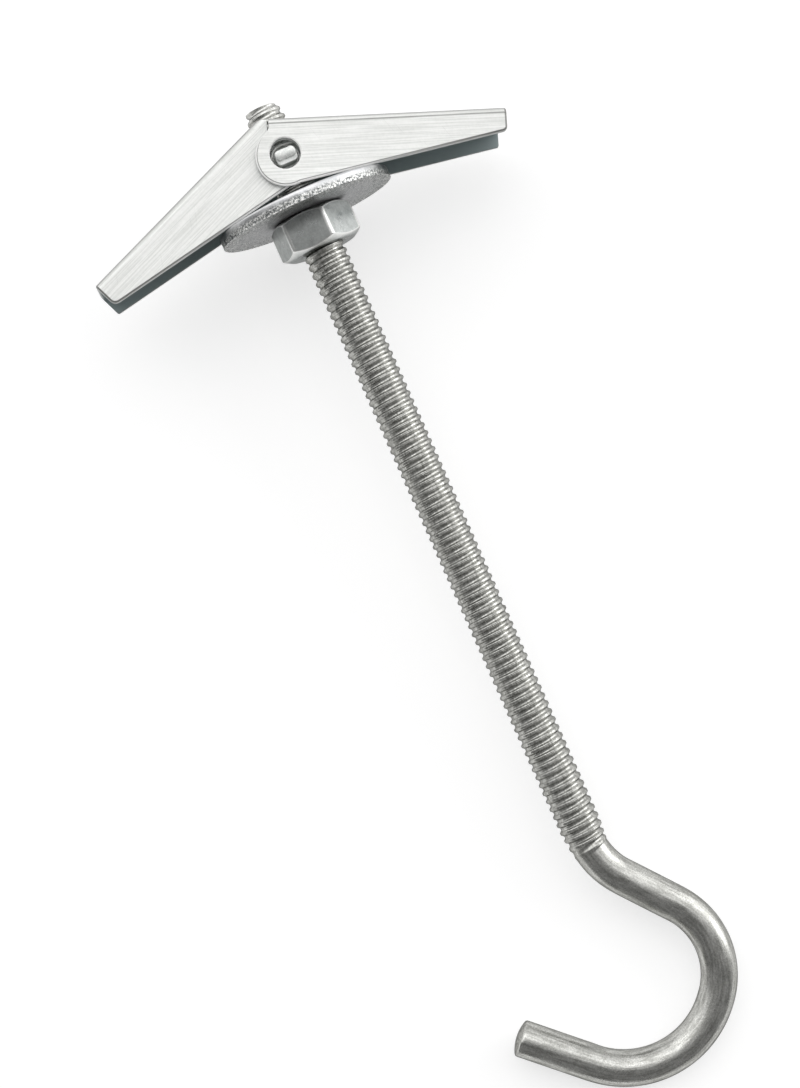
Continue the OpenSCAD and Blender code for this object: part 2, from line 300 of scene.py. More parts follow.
def tube(path: np.ndarray, reference: np.ndarray, r: float, sides: int = 14) -> Surface:
    """Round wire along a path, closed by a slightly domed cap at each end.

    Each ring lies square to the path; its first direction is the reference made square to the heading,
    and its second is square to both. The rings of a cap shrink as the sine of an angle and run out as
    half its cosine.

    Args:
        path: the middle line.
        reference: a direction that the path never runs along.
        r: radius of the wire.
        sides: points in a ring.

    Returns:
        The closed surface. Its stock is (length, across, out).
    """
    heading = np.gradient(path, axis=0)
    heading /= np.linalg.norm(heading, axis=1, keepdims=True)
    lengths = np.concatenate([[0], np.cumsum(np.linalg.norm(np.diff(path, axis=0), axis=1))])
    dome = np.linspace(TURN / 4, 0, CAP_RINGS)
    cap_r, cap_out = r * np.sin(dome), CAP_RISE * r * np.cos(dome)
    radius = np.concatenate([cap_r[::-1], np.full(len(path), r), cap_r])
    shift = np.concatenate([-cap_out[::-1], np.zeros(len(path)), cap_out])
    before, after = np.zeros(CAP_RINGS, int), np.full(CAP_RINGS, len(path) - 1)
    row = np.concatenate([before, np.arange(len(path)), after])
    first = reference - (heading @ reference)[:, None] * heading
    first /= np.linalg.norm(first, axis=1, keepdims=True)
    second = np.cross(heading, first)
    angle = np.linspace(0, TURN, sides, endpoint=False)
    across, out = radius[:, None] * np.cos(angle), radius[:, None] * np.sin(angle)
    middle = path[row] + shift[:, None] * heading[row]
    points = middle[:, None] + across[..., None] * first[row][:, None]
    points = points + out[..., None] * second[row][:, None]
    along = (lengths[row] + shift)[:, None] + 0 * across
    index = wrapped(np.arange(across.size).reshape(across.shape))
    stock = np.stack([along, across, out], axis=-1)
    return welded(Surface(points.reshape(-1, 3), quads(index).tolist(), stock.reshape(-1, 3)))


def added(name: str, data: bpy.types.ID) -> bpy.types.Object:
    """Adds an object to the scene.

    Args:
        name: the object's name.
        data: the mesh, light or camera that it shows.

    Returns:
        The new object.
    """
    thing = bpy.data.objects.new(name, data)
    bpy.context.scene.collection.objects.link(thing)
    return thing


def put_mesh(name: str, surface: Surface, lay: Lay, rolled: bool, crease: float = 35) -> bpy.types.Object:
    """Puts a surface into the scene, laid in the row frame.

    Args:
        name: the piece's name.
        surface: the surface in millimetres.
        lay: where the bolt lies.
        rolled: whether the surface was drawn in the rolled toggle's frame.
        crease: the angle in degrees past which an edge is shaded sharp.

    Returns:
        The new object, with its place in its mesh and the stock's coordinates in an attribute.
    """
    mesh = bpy.data.meshes.new(name)
    faces = outward(surface.points, surface.faces)
    mesh.from_pydata(lay.points(surface.points, rolled).tolist(), [], faces)
    stock = mesh.attributes.new("stock", "FLOAT_VECTOR", "POINT")
    stock.data.foreach_set("vector", (surface.stock * MM).astype(np.float32).ravel())
    for key, values in surface.marks.items():
        mark = mesh.attributes.new(key, "FLOAT", "POINT")
        mark.data.foreach_set("value", values.astype(np.float32))
    mesh.validate()
    mesh.shade_smooth()
    if surface.normals is None:
        mesh.set_sharp_from_angle(angle=np.radians(crease))
    else:
        mesh.normals_split_custom_set_from_vertices(lay.directions(surface.normals, rolled).tolist())
    return added(name, mesh)


def dress(piece: bpy.types.Object, body: Body, slot: Slot, finish: "Plating", *nodes: str) -> None:
    """Dresses a piece and ties it to the frame.

    Args:
        piece: the piece.
        body: the body that it rides on.
        slot: its material slot; not used.
        finish: its finish.
        nodes: the frame's nodes that it stands for.
    """
    piece.data.materials.append(finish.material())
    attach(piece, body.value)
    if nodes:
        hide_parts(*nodes)
    LOG.info("%s: %d faces on %s", piece.name, len(piece.data.polygons), body.value)


# ---- Finishes ----

NOISE_SPAN = (0.3, 0.7)  # nearly all values of a noise lie in it

Feed = Socket | float | tuple[float, ...]
Bumps = list[tuple[Socket, float]]


class NodeTree:
    """A short hand for building the nodes of a material or a world."""

    def __init__(self, owner: bpy.types.Material | bpy.types.World) -> None:
        """Turns the owner's nodes on."""
        owner.use_nodes = True
        self.nodes, self.links = owner.node_tree.nodes, owner.node_tree.links

    def feed(self, node: bpy.types.Node, inputs: dict[str | int, Feed]) -> None:
        """Sets or links inputs of a node.

        Args:
            node: the node.
            inputs: for each input, by its name or place, its constant or the socket that feeds it.
        """
        for key, value in inputs.items():
            if isinstance(value, Socket):
                self.links.new(value, node.inputs[key])
            else:
                node.inputs[key].default_value = value

    def add(self, kind: str, inputs: dict[str | int, Feed]) -> bpy.types.Node:
        """Adds a node.

        Args:
            kind: its type's name.
            inputs: what its inputs are fed.

        Returns:
            The node.
        """
        node = self.nodes.new(kind)
        self.feed(node, inputs)
        return node

    def math(self, operation: str, a: Feed, b: Feed) -> Socket:
        """Works on two numbers.

        Args:
            operation: the operation's name.
            a: the first number.
            b: the second.

        Returns:
            The result.
        """
        node = self.add("ShaderNodeMath", {0: a, 1: b})
        node.operation = operation
        return node.outputs[0]

    def spread(self, value: Socket, source: tuple[float, float], target: tuple[float, float]) -> Socket:
        """Maps a value smoothly from one range to another.

        Args:
            value: the value.
            source: its range; it is held at either end.
            target: what the ends of the source become.

        Returns:
            The mapped value.
        """
        ends = dict(zip(("From Min", "From Max", "To Min", "To Max"), source + target))
        node = self.add("ShaderNodeMapRange", {"Value": value, **ends})
        node.interpolation_type = "SMOOTHSTEP"
        return node.outputs["Result"]


class Shader(NodeTree):
    """The node material of one plated metal."""

    def __init__(self, name: str, metallic: float, edge_tint: float) -> None:
        """Starts a material with a metal shader in it.

        Args:
            name: the material's name.
            metallic: how far it is bare metal, from 0 to 1.
            edge_tint: what its sheen is cut to where it is seen edge on.
        """
        self.material = bpy.data.materials.new(name)
        super().__init__(self.material)
        self.metal = self.nodes["Principled BSDF"]
        self.feed(self.metal, {"Metallic": metallic, "Specular Tint": (edge_tint,) * 3 + (1,)})

    def attribute(self, name: str) -> bpy.types.Node:
        """Adds a node that reads what was worked out for each point of the piece.

        Args:
            name: the attribute's name.

        Returns:
            The node.
        """
        node = self.nodes.new("ShaderNodeAttribute")
        node.attribute_name = name
        return node

    def mark(self, name: str) -> Socket:
        """How strongly a mark shows at a point."""
        return self.attribute(name).outputs["Fac"]

    def mapped(self, place: Socket, setting: str, value: tuple[float, float, float]) -> Socket:
        """A place passed through one setting of a Mapping node."""
        return self.add("ShaderNodeMapping", {"Vector": place, setting: value}).outputs["Vector"]

    def on_stock(self, scale: tuple[float, float, float], turn: float = 0) -> Socket:
        """Places on the stock.

        Args:
            scale: how many units there are in a metre along each axis.
            turn: how far the stock is turned about Z before that, in degrees.

        Returns:
            The places.
        """
        place = self.attribute("stock").outputs["Vector"]
        if turn:
            place = self.mapped(place, "Rotation", (0, 0, np.radians(turn)))
        return self.mapped(place, "Scale", scale)

    def on_piece(self, per_metre: float) -> Socket:
        """Places on the piece itself, scaled to a number of units in each metre."""
        place = self.nodes.new("ShaderNodeTexCoord").outputs["Object"]
        return self.mapped(place, "Scale", (per_metre,) * 3)

    def noise(self, place: Socket, detail: float, rough: float = 0.6) -> Socket:
        """Noise of one cell for each unit of its place."""
        settings = {"Vector": place, "Scale": 1.0, "Detail": detail, "Roughness": rough}
        return self.add("ShaderNodeTexNoise", settings).outputs["Fac"]

    def mix(self, share: Feed, low: Colour | Socket, high: Colour | Socket, how: str = "MIX") -> Socket:
        """Blends two colours.

        Args:
            share: how much of the blend shows over the low colour.
            low: the colour at a share of 0.
            high: the colour that is blended in.
            how: the way of blending.

        Returns:
            The blend.
        """
        node = self.nodes.new("ShaderNodeMix")
        node.data_type, node.blend_type = "RGBA", how
        low, high = ((*side, 1) if isinstance(side, tuple) else side for side in (low, high))
        self.feed(node, {0: share, 6: low, 7: high})
        return node.outputs[2]

    def darkened(self, colour: Socket, share: Socket) -> Socket:
        """A colour multiplied by a number."""
        return self.mix(1.0, colour, share, "MULTIPLY")

    def bump(self, heights: Bumps) -> None:
        """Chains bumps into the shader's normal.

        Args:
            heights: for each bump its height from 0 to 1, and what 1 is in metres.
        """
        chain = {}
        for height, distance in heights:
            node = self.add("ShaderNodeBump", {"Distance": distance, "Height": height, **chain})
            chain = {"Normal": node.outputs["Normal"]}
        self.feed(self.metal, chain)


@dataclass(frozen=True)
class Plating:
    """Zinc plate on steel: a fine crystalline mottle over streaks that follow the stock.

    Attributes:
        name: the material's name.
        pale: colour of the brightest streaks.
        deep: colour of the darkest ones.
        roughness: the least and the most of it, which lie in soft patches.
        streaks: how many streaks there are in a metre along each axis of the stock.
        metallic: how far it is bare metal.
        edge_tint: what its sheen is cut to where it is seen edge on.
        streak_range: the values of the noise that are deep and pale.
        streak_bump: height of the streaks in metres.
        mottle: how many spots there are in a metre.
        mottle_depth: what the darkest spots leave of the colour.
        mottle_bump: height of the spots in metres.
        cloud: how many soft patches there are in a metre.
    """

    streak_detail = 3
    mottle_detail = 4
    cloud_detail = 2

    name: str
    pale: Colour
    deep: Colour
    roughness: tuple[float, float]
    streaks: tuple[float, float, float]
    metallic: float = 1.0
    edge_tint: float = 0.45
    streak_range: tuple[float, float] = (0.35, 0.65)
    streak_bump: float = 0.000004
    mottle: float = 4000
    mottle_depth: float = 0.86
    mottle_bump: float = 0.000006
    cloud: float = 400

    def material(self) -> bpy.types.Material:
        """The finish as a node material.

        Returns:
            The material, which is made once and then shared.
        """
        known = bpy.data.materials.get(self.name)
        if known:
            return known
        shader = Shader(self.name, self.metallic, self.edge_tint)
        streak = shader.noise(shader.on_stock(self.streaks), self.streak_detail)
        mottle = shader.noise(shader.on_piece(self.mottle), self.mottle_detail)
        cloud = shader.noise(shader.on_piece(self.cloud), self.cloud_detail)
        colour = shader.mix(shader.spread(streak, self.streak_range, (0, 1)), self.deep, self.pale)
        colour = shader.darkened(colour, shader.spread(mottle, NOISE_SPAN, (self.mottle_depth, 1.0)))
        bumps = [(mottle, self.mottle_bump), (streak, self.streak_bump)]
        colour, bumps = self.worked(shader, colour, bumps)
        roughness = shader.spread(cloud, NOISE_SPAN, self.roughness)
        shader.feed(shader.metal, {"Base Color": colour, "Roughness": roughness})
        shader.bump(bumps)
        return shader.material

    def worked(self, shader: Shader, colour: Socket, bumps: Bumps) -> tuple[Socket, Bumps]:
        """What the tools left on the metal; a plain plating shows nothing more.

        Args:
            shader: the material being built.
            colour: the plating's colour.
            bumps: its bumps.

        Returns:
            The colour and the bumps with the tools' traces.
        """
        return colour, bumps


@dataclass(frozen=True)
class RubbedAndHighlightPlating(Plating):
    """Plating that is rubbed bright, and partly painted with a highlight, where the mark rubbed is 1.

    Attributes:
        rubbed: colour of the rubbed metal, which also paints a highlight.
    """

    rubbed: Colour = (0.95, 0.95, 0.93)

    def worked(self, shader: Shader, colour: Socket, bumps: Bumps) -> tuple[Socket, Bumps]:
        """Adds the rubbed places, with their painted highlight."""
        return shader.mix(shader.mark("rubbed"), colour, self.rubbed), bumps


@dataclass(frozen=True)
class StampedPlating(Plating):
    """Plating on a stamped piece: where the mark torn is 1 the metal was torn off, and lies in grains.

    Attributes:
        grains: how many grains there are in a metre.
        grain_range: the values of the noise that are the bottoms and the tops of the grains.
        grain_deep: colour between the grains.
        grain_pale: colour of the grains.
        grain_bump: their height in metres.
    """

    grain_detail = 3
    grain_rough = 0.75

    grains: float = 3300
    grain_range: tuple[float, float] = (0.40, 0.62)
    grain_deep: Colour = (0.15, 0.16, 0.16)
    grain_pale: Colour = (0.95, 0.95, 0.93)
    grain_bump: float = 0.00011

    def worked(self, shader: Shader, colour: Socket, bumps: Bumps) -> tuple[Socket, Bumps]:
        """Adds the torn band: grains in colour and in height, by the mark.

        Args:
            shader: the material being built.
            colour: the plating's colour.
            bumps: its bumps.

        Returns:
            The colour and the bumps with the grains.
        """
        torn = shader.mark("torn")
        grain = shader.noise(shader.on_piece(self.grains), self.grain_detail, self.grain_rough)
        share = shader.spread(grain, self.grain_range, (0, 1))
        grained = shader.mix(share, self.grain_deep, self.grain_pale)
        height = shader.math("MULTIPLY", grain, torn)
        return shader.mix(torn, colour, grained), bumps + [(height, self.grain_bump)]


@dataclass(frozen=True)
class RolledPlating(Plating):
    """Plating on rolled sheet: brushed lines crossed by a few faint scratches, with painted shade and a
    painted highlight by marks.

    Attributes:
        worn: colour of the shade painted where the mark worn is 1, as dark lines on rounded edges and
            along bends.
        inside: colour where the mark inside is 1, dull and bluish, painted shade for the shade inside the
            channel.
        sheared: colour of bare cut steel with a painted highlight on it, where the mark sheared is 1.
        scratches: how many places for a scratch there are in a metre along each axis.
        scratch_turn: how far the scratches are turned on the sheet, in degrees.
        scratch_range: the values of the noise between which a scratch sets in.
        scratch_shade: what a scratch leaves of the colour.
    """

    scratch_detail = 1

    # Painted shade on edges and folds, painted shade inside the channel, and a painted highlight on the
    # cut face.
    worn: Colour = (0.13, 0.13, 0.125)
    inside: Colour = (0.33, 0.385, 0.39)
    sheared: Colour = (1.0, 1.0, 0.985)
    scratches: tuple[float, float, float] = (9000, 160, 160)
    scratch_turn: float = 52
    scratch_range: tuple[float, float] = (0.70, 0.76)
    scratch_shade: float = 0.86

    def worked(self, shader: Shader, colour: Socket, bumps: Bumps) -> tuple[Socket, Bumps]:
        """Adds the scratches, the painted shade inside, the painted shade on edges and folds and the
        painted highlight on the cuts, in that order.

        Args:
            shader: the material being built.
            colour: the plating's colour.
            bumps: its bumps.

        Returns:
            The colour with all of them, and the bumps as they were.
        """
        scratch = shader.noise(shader.on_stock(self.scratches, self.scratch_turn), self.scratch_detail)
        shade = shader.spread(scratch, self.scratch_range, (1.0, self.scratch_shade))
        colour = shader.darkened(colour, shade)
        # Painted shade inside the channel, painted shade on edges and folds, then the painted highlight on
        # the cut face.
        for mark, tone in (("inside", self.inside), ("worn", self.worn), ("sheared", self.sheared)):
            colour = shader.mix(shader.mark(mark), colour, tone)
        return colour, bumps


ROD_PLATE = RubbedAndHighlightPlating(
    "rod_plate",
    pale=(0.68, 0.68, 0.65),
    deep=(0.43, 0.43, 0.405),
    roughness=(0.22, 0.34),
    edge_tint=0.3,
    streaks=(300, 2600, 2600),
    streak_bump=0.000012,
    mottle=4200,
    mottle_depth=0.66,
    mottle_bump=0.000012,
)
# The nut's rubbed colour is partly a painted highlight on its corners and edge lines.
NUT_PLATE = RubbedAndHighlightPlating(
    "nut_plate",
    pale=(0.58, 0.60, 0.59),
    deep=(0.50, 0.52, 0.51),
    roughness=(0.26, 0.38),
    streaks=(900, 900, 900),
    mottle=3200,
    mottle_depth=0.84,
)
BARREL_PLATE = Plating(
    "barrel_plate",
    pale=(0.86, 0.87, 0.85),
    deep=(0.70, 0.72, 0.70),
    roughness=(0.34, 0.46),
    streaks=(900, 900, 900),
    metallic=0.6,
    mottle=3200,
    mottle_depth=0.80,
)
WASHER_PLATE = StampedPlating(
    "washer_plate",
    pale=(0.68, 0.68, 0.69),
    deep=(0.60, 0.61, 0.62),
    roughness=(0.30, 0.40),
    streaks=(700, 700, 700),
    mottle=4200,
    mottle_depth=0.92,
    mottle_bump=0.000002,
)
SHEET_PLATE = RolledPlating(
    "sheet_plate",
    pale=(0.98, 0.985, 0.965),
    deep=(0.82, 0.83, 0.805),
    roughness=(0.40, 0.52),
    streaks=(4300, 80, 900),
    metallic=0.35,
    streak_range=(0.40, 0.60),
    mottle=2200,
    mottle_depth=0.95,
)
# Painted highlight: the wire is made near white so that it shows as a bright glint where it lies in shade.
SPRING_STEEL_GLINT = Plating(
    "spring_steel",
    pale=(0.98, 0.98, 0.96),
    deep=(0.80, 0.80, 0.78),
    roughness=(0.24, 0.34),
    streaks=(300, 4000, 4000),
    metallic=0.4,
)


# ---- Rod and hook ----


@dataclass(frozen=True)
class Rod:
    """Threaded rod bent into a hook at one end; lengths along it start at the pivot.

    Attributes:
        thread_r: radius over the thread's crests.
        depth: depth of the thread.
        pitch: length of one turn of it.
        wire_r: radius of the plain wire.
        bend_r: radius to which bending draws the wire down.
        ease: length over which it does.
        stub: how far the free end stands out behind the pivot.
        lead: length over which the thread starts at the free end.
        free_end_r: radius of the crests at the very end.
        shank: length from the pivot to the first bend, where the thread's last root lies.
        run_out: how far before that the crests begin to come down.
        fade: how far past it the thread is gone.
        last_root: radius of that root.
        bends: the hook as arcs (radius, degrees) and straights (0, length), in order.
        tail_dome: rise of the hook's cut end.
        tail_edge: round of that end's edge.
        tail_rings: rings of its dome, with the one at the edge.
        tail_hole: angle at the dome's middle where the rings end and a flat face closes it.
        tail_wall: length of the last stretch of plain wire before it.
        crest: half width of the crest's flat, as a share of the pitch.
        crest_seam: depth of the seam that rolling leaves in the crest, as a share of the thread's.
        seam_w: half width of the seam, as a share of the crest's.
        root: half width of the root's flat, as a share of the pitch.
        flank_ease: how much the flanks are eased at both ends.
        phases: where the rows of the grid lie in one pitch.
        columns: points round the wire.
        ring_gap: length between the rings of the plain wire.
        line_step: length of the steps by which the middle line is summed.
        fresh: how bright the cut threads at the free end are rubbed.
    """

    thread_r: float = 3.15
    depth: float = 0.36
    pitch: float = 1.27
    wire_r: float = 2.725
    bend_r: float = 2.7
    ease: float = 1.5
    stub: float = 8.35
    lead: float = 3.6
    free_end_r: float = 2.5
    shank: float = 107.9
    run_out: float = 1.6
    fade: float = 2.3
    last_root: float = 2.56
    bends: tuple[tuple[float, float], ...] = (
        (11.7, 39),
        (0, 8.8),
        (11.65, -80),
        (0, 0.4),
        (13.9, -92),
        (0, 11.75),
    )
    tail_dome: float = 0.6
    tail_edge: float = 0.3
    tail_rings: int = 9
    tail_hole: float = 0.001
    tail_wall: float = 1.0
    crest: float = 0.11
    crest_seam: float = 0.07
    seam_w: float = 0.65
    root: float = 0.12
    flank_ease: float = 0.4
    phases: tuple[float, ...] = (
        *(0, 0.05, 0.11, 0.17, 0.25, 0.33, 0.40, 0.5),
        *(0.60, 0.67, 0.75, 0.83, 0.89, 0.95),
    )
    columns: int = 56
    ring_gap: float = 0.5
    line_step: float = 0.01
    fresh: float = 0.4

    def stations(self) -> tuple[np.ndarray, np.ndarray]:
        """The joints between straights and bends.

        Returns:
            Length along the wire and heading in degrees at each joint, with the wire's two ends.
        """
        lengths, headings = [-self.stub, self.shank], [0.0, 0.0]
        for radius, amount in self.bends:
            bent = radius > 0
            lengths.append(lengths[-1] + (radius * np.radians(abs(amount)) if bent else amount))
            headings.append(headings[-1] + (amount if bent else 0))
        return np.array(lengths), np.array(headings)

    def middle_line(self, s: np.ndarray) -> tuple[np.ndarray, np.ndarray]:
        """The wire's middle line.

        The heading runs linearly through each bend, and the line is the running sum of the unit vectors
        of its heading.

        Args:
            s: lengths along the wire.

        Returns:
            The points at s in the hook's plane, and the headings there in radians.
        """
        lengths, headings = self.stations()
        step = self.line_step
        fine = np.arange(lengths[0], lengths[-1] + step, step)
        heading = np.radians(np.interp(fine, lengths, headings))
        halfway = (heading[1:] + heading[:-1]) / 2
        x = lengths[0] + np.concatenate([[0], np.cumsum(np.cos(halfway)) * step])
        y = np.concatenate([[0], np.cumsum(np.sin(halfway)) * step])
        place = np.stack([np.interp(s, fine, x), np.interp(s, fine, y)], axis=-1)
        return place, np.radians(np.interp(s, lengths, headings))

    def thread_rise(self, phase: np.ndarray) -> np.ndarray:
        """The thread's profile.

        The crest and the root are short flats, the flanks between them are straight lines eased at both
        ends, and a rolled crest keeps a faint seam along its middle.

        Args:
            phase: where along the thread, in pitches; the crest's middle is at every whole number.

        Returns:
            How far the thread stands above its root, from 0 to 1.
        """
        off = np.abs((phase + 0.5) % 1 - 0.5)
        flank = np.clip((0.5 - self.root - off) / (0.5 - self.root - self.crest), 0, 1)
        eased = (1 - self.flank_ease) * flank + self.flank_ease * flank**2 * (3 - 2 * flank)
        seam = self.crest_seam * np.clip(1 - off / (self.seam_w * self.crest), 0, 1)
        return eased - seam

    def radius(self, s: np.ndarray, angle: np.ndarray) -> np.ndarray:
        """Radius of the rod.

        Root plus rise times the height of the crest over the root. Both grow over the lead at the free
        end; near the shank's end the crests come down to the bent wire while the roots dip and come up
        to it. Past the thread the wire is plain, and a little thinner along each bend.

        Args:
            s: lengths along the wire.
            angle: angles about its middle line, in radians.

        Returns:
            The radius at each length and angle.
        """
        start, full = -self.stub, self.lead - self.stub
        end, plain = self.shank - self.run_out, self.shank + self.fade
        steps = [self.free_end_r, self.thread_r, self.thread_r, self.bend_r]
        crest = np.interp(s, [start, full, end, plain], steps)
        low = self.thread_r - self.depth
        steps = [self.free_end_r - self.depth, low, low, self.last_root, self.bend_r]
        root = np.interp(s, [start, full, end, self.shank, plain], steps)
        threaded = root + (crest - root) * self.thread_rise(s / self.pitch - angle / TURN)
        lengths, _ = self.stations()
        first, last = lengths[1:-1:2, None, None], lengths[2::2, None, None]
        starts = np.clip((s - first) / self.ease + 0.5, 0, 1)
        bent = starts * np.clip((last - s) / self.ease + 0.5, 0, 1)
        wire = self.wire_r + (self.bend_r - self.wire_r) * bent.sum(axis=0)
        return np.where(s > plain, wire, threaded)

    def end_rings(self, total: float) -> np.ndarray:
        """The rings at the hook's free end.

        The wall, an eased edge, and a dome whose rings lie at even angles of its sphere.

        Args:
            total: length of the wire.

        Returns:
            Rows of (length, radius).
        """
        dome_r = (self.wire_r**2 + self.tail_dome**2) / (2 * self.tail_dome)
        angle = np.linspace(np.arcsin(self.wire_r / dome_r), self.tail_hole, self.tail_rings)[1:]
        dome = np.stack([total - dome_r * (1 - np.cos(angle)), dome_r * np.sin(angle)], axis=-1)
        edge = total - self.tail_dome
        corners = np.concatenate([[[edge - self.tail_wall, self.wire_r], [edge, self.wire_r]], dome])
        return rounded(corners, [0, self.tail_edge] + [0] * len(dome))

    def surface(self) -> Surface:
        """The rod as one surface of length and angle.

        On the thread the rows of the grid follow the helix, so each row keeps one phase of the profile;
        lengths past either end of the thread are held at that end. Beyond, the rows are plain rings. A
        point stands off the middle line by the radius, across the plane by its cosine and out of it by
        its sine.

        Returns:
            The closed surface. Its stock is (length, across, out).
        """
        angle = np.linspace(0, TURN, self.columns, endpoint=False)
        plain = self.shank + self.fade
        turns = np.arange(np.floor(-self.stub / self.pitch) - 1, np.ceil(plain / self.pitch) + 1)
        helix = ((turns[:, None] + np.array(self.phases)) * self.pitch).reshape(-1, 1)
        helix = np.clip(helix + self.pitch * angle / TURN, -self.stub, plain)
        helix = helix[(helix.max(axis=1) > -self.stub + WELD) & (helix.min(axis=1) < plain - WELD)]
        end = self.end_rings(self.stations()[0][-1])
        rings = np.concatenate([np.arange(plain, end[0, 0], self.ring_gap), end[:, 0]])
        s = np.concatenate([np.full((1, self.columns), -self.stub), helix, rings[:, None] + 0 * angle])
        r = self.radius(s, angle)
        r[-len(end) :] = end[:, 1:]
        place, heading = self.middle_line(s)
        across, out = r * np.cos(angle), r * np.sin(angle)
        x, y = place[..., 0] - across * np.sin(heading), place[..., 1] + across * np.cos(heading)
        points = np.stack([x, y, out], axis=-1).reshape(-1, 3)
        stock = np.stack([s, across, out], axis=-1).reshape(-1, 3)
        faces = quads(self.spiral(np.arange(s.size).reshape(s.shape), len(helix) + 1)).tolist()
        faces += [list(range(self.columns))[::-1], list(range(s.size - self.columns, s.size))]
        marks = {"rubbed": np.interp(s, [-self.stub, self.lead - self.stub], [self.fresh, 0]).ravel()}
        return welded(Surface(points, faces, stock, marks))

    def spiral(self, index: np.ndarray, last: int) -> np.ndarray:
        """Closes the grid of the rod round its back.

        Args:
            index: the grid's indices.
            last: the last row of the helix; up to it a row's end meets the row one turn further on.

        Returns:
            The indices with the column that closes them.
        """
        row = np.arange(len(index))
        after = np.where(row < last, np.minimum(row + len(self.phases), last), row)
        return np.concatenate([index, index[after, :1]], axis=1)

    def build(self, lay: Lay) -> None:
        """Makes the rod and dresses it."""
        piece = put_mesh("hook_rod", self.surface(), lay, rolled=False, crease=60)
        dress(piece, Body.ROD, Slot.ROD, ROD_PLATE, "hook_bolt")


# ---- Nut and washer ----


@dataclass(frozen=True)
class Nut:
    """Hexagon nut with both faces chamfered and its corners softened by the plating.

    Attributes:
        across_flats: width over two flats.
        height: height of the nut.
        turn: how far it is turned about the rod, in degrees.
        back: where its back face lies along the rod.
        bore_r: radius of the bore.
        sink: width and depth of the bore's countersink.
        face_share: radius of the flat faces as a share of half the width.
        corner_r: round of the six corners.
        edge: round of the other edges.
        rub: how bright corners and edges are rubbed, partly as a painted highlight.
    """

    half_side = TURN / 12  # half the angle that one flat spans
    chamfer = np.tan(TURN / 12)  # the chamfer's drop for each millimetre outwards
    at_degrees = (0, 5, 12, 20, 26, 27.6, 28.4, 29.2)  # columns off the middle of a flat
    corner_from = 1.118  # share of half the width beyond which a corner is rubbed and painted with a highlight
    corner_skin = 0.99  # share of the hexagon's radius beyond which a point lies on its side
    line_skin = 0.97  # the same for the line between flat and chamfer, where edges are rounded
    line_w = 0.6  # half width of the rubbed line with its painted highlight, as a share of the edge's round

    across_flats: float = 11.1
    height: float = 5.7
    turn: float = 11
    back: float = 8.28
    bore_r: float = 3.2
    sink: float = 0.35
    face_share: float = 0.9
    corner_r: float = 0.5
    edge: float = 0.14
    rub: float = 0.7

    @property
    def first_flat(self) -> float:
        """Angle of the first flat's middle about the rod, in radians."""
        return np.radians(self.turn + 30)

    def angles(self) -> np.ndarray:
        """The columns' angles in radians, close together at the six corners.

        Returns:
            The angles from the middle of the first flat, in order.
        """
        half = np.array(self.at_degrees)
        part = np.concatenate([[-30], -half[:0:-1], half])
        return np.radians((part + 60 * np.arange(6)[:, None]).ravel())

    def hexagon(self, angle: np.ndarray) -> np.ndarray:
        """Radius of the hexagon.

        Along a flat it is the half width over the cosine. Within the corner it is the far crossing of
        the ray with the circle that rounds the corner.

        Args:
            angle: angles from the middle of a flat, in radians.

        Returns:
            The radius at each angle.
        """
        half, r = self.across_flats / 2, self.corner_r
        off = np.abs((angle + self.half_side) % (2 * self.half_side) - self.half_side)
        reach = (half - r) / np.cos(self.half_side)
        aside = self.half_side - off
        arc_r = reach * np.cos(aside) + np.sqrt(np.maximum(r**2 - (reach * np.sin(aside)) ** 2, 0))
        tangent = np.arctan2((half - r) * np.tan(self.half_side), half)
        return np.where(off > tangent, arc_r, half / np.cos(off))

    def drop(self, hexagon: np.ndarray) -> np.ndarray:
        """How far the chamfer has dropped below the face where it meets the hexagon."""
        return (hexagon - self.face_share * self.across_flats / 2) * self.chamfer

    def surface(self) -> Surface:
        """The nut: for each angle a loop through bore, face, chamfer, flat and back again.

        Returns:
            The closed surface.
        """
        angle = self.angles()
        hexagon = self.hexagon(angle)
        near = [
            (self.sink, self.bore_r),
            (0, self.bore_r + self.sink),
            (0, self.face_share * self.across_flats / 2),
            (self.drop(hexagon), hexagon),
        ]
        far = [(self.height - x, r) for x, r in reversed(near)]
        small = self.edge / 2
        cuts = [small, small, self.edge, self.edge]
        profile = rounded(by_angle(near + far, angle), cuts + cuts[::-1])
        profile[..., 0] += self.back
        surface = turned(profile, angle + self.first_flat)
        # Corners and the flat-to-chamfer line are painted bright: rubbed metal, partly a painted
        # highlight.
        surface.marks["rubbed"] = self.rubbed(surface.points)
        return surface

    def rubbed(self, points: np.ndarray) -> np.ndarray:
        """Where the edges are rubbed bright and carry a painted highlight: the hexagon's corners, and the
        line between flat and chamfer.

        Args:
            points: points of the nut.

        Returns:
            How bright the rubbing and the painted highlight are at each.
        """
        angle = np.arctan2(points[:, 2], points[:, 1]) - self.first_flat
        out, full = np.linalg.norm(points[:, 1:], axis=1), self.hexagon(angle)
        corner = (out > self.corner_skin * full) & (full > self.corner_from * self.across_flats / 2)
        near = np.minimum(points[:, 0] - self.back, self.back + self.height - points[:, 0])
        line = (np.abs(near - self.drop(full)) < self.line_w * self.edge) & (out > self.line_skin * full)
        return self.rub * (corner | line)

    def build(self, lay: Lay) -> None:
        """Makes the nut and dresses it."""
        piece = put_mesh("locking_nut", self.surface(), lay, rolled=False)
        dress(piece, Body.LOCKNUT, Slot.NUT, NUT_PLATE, "hex_nut")


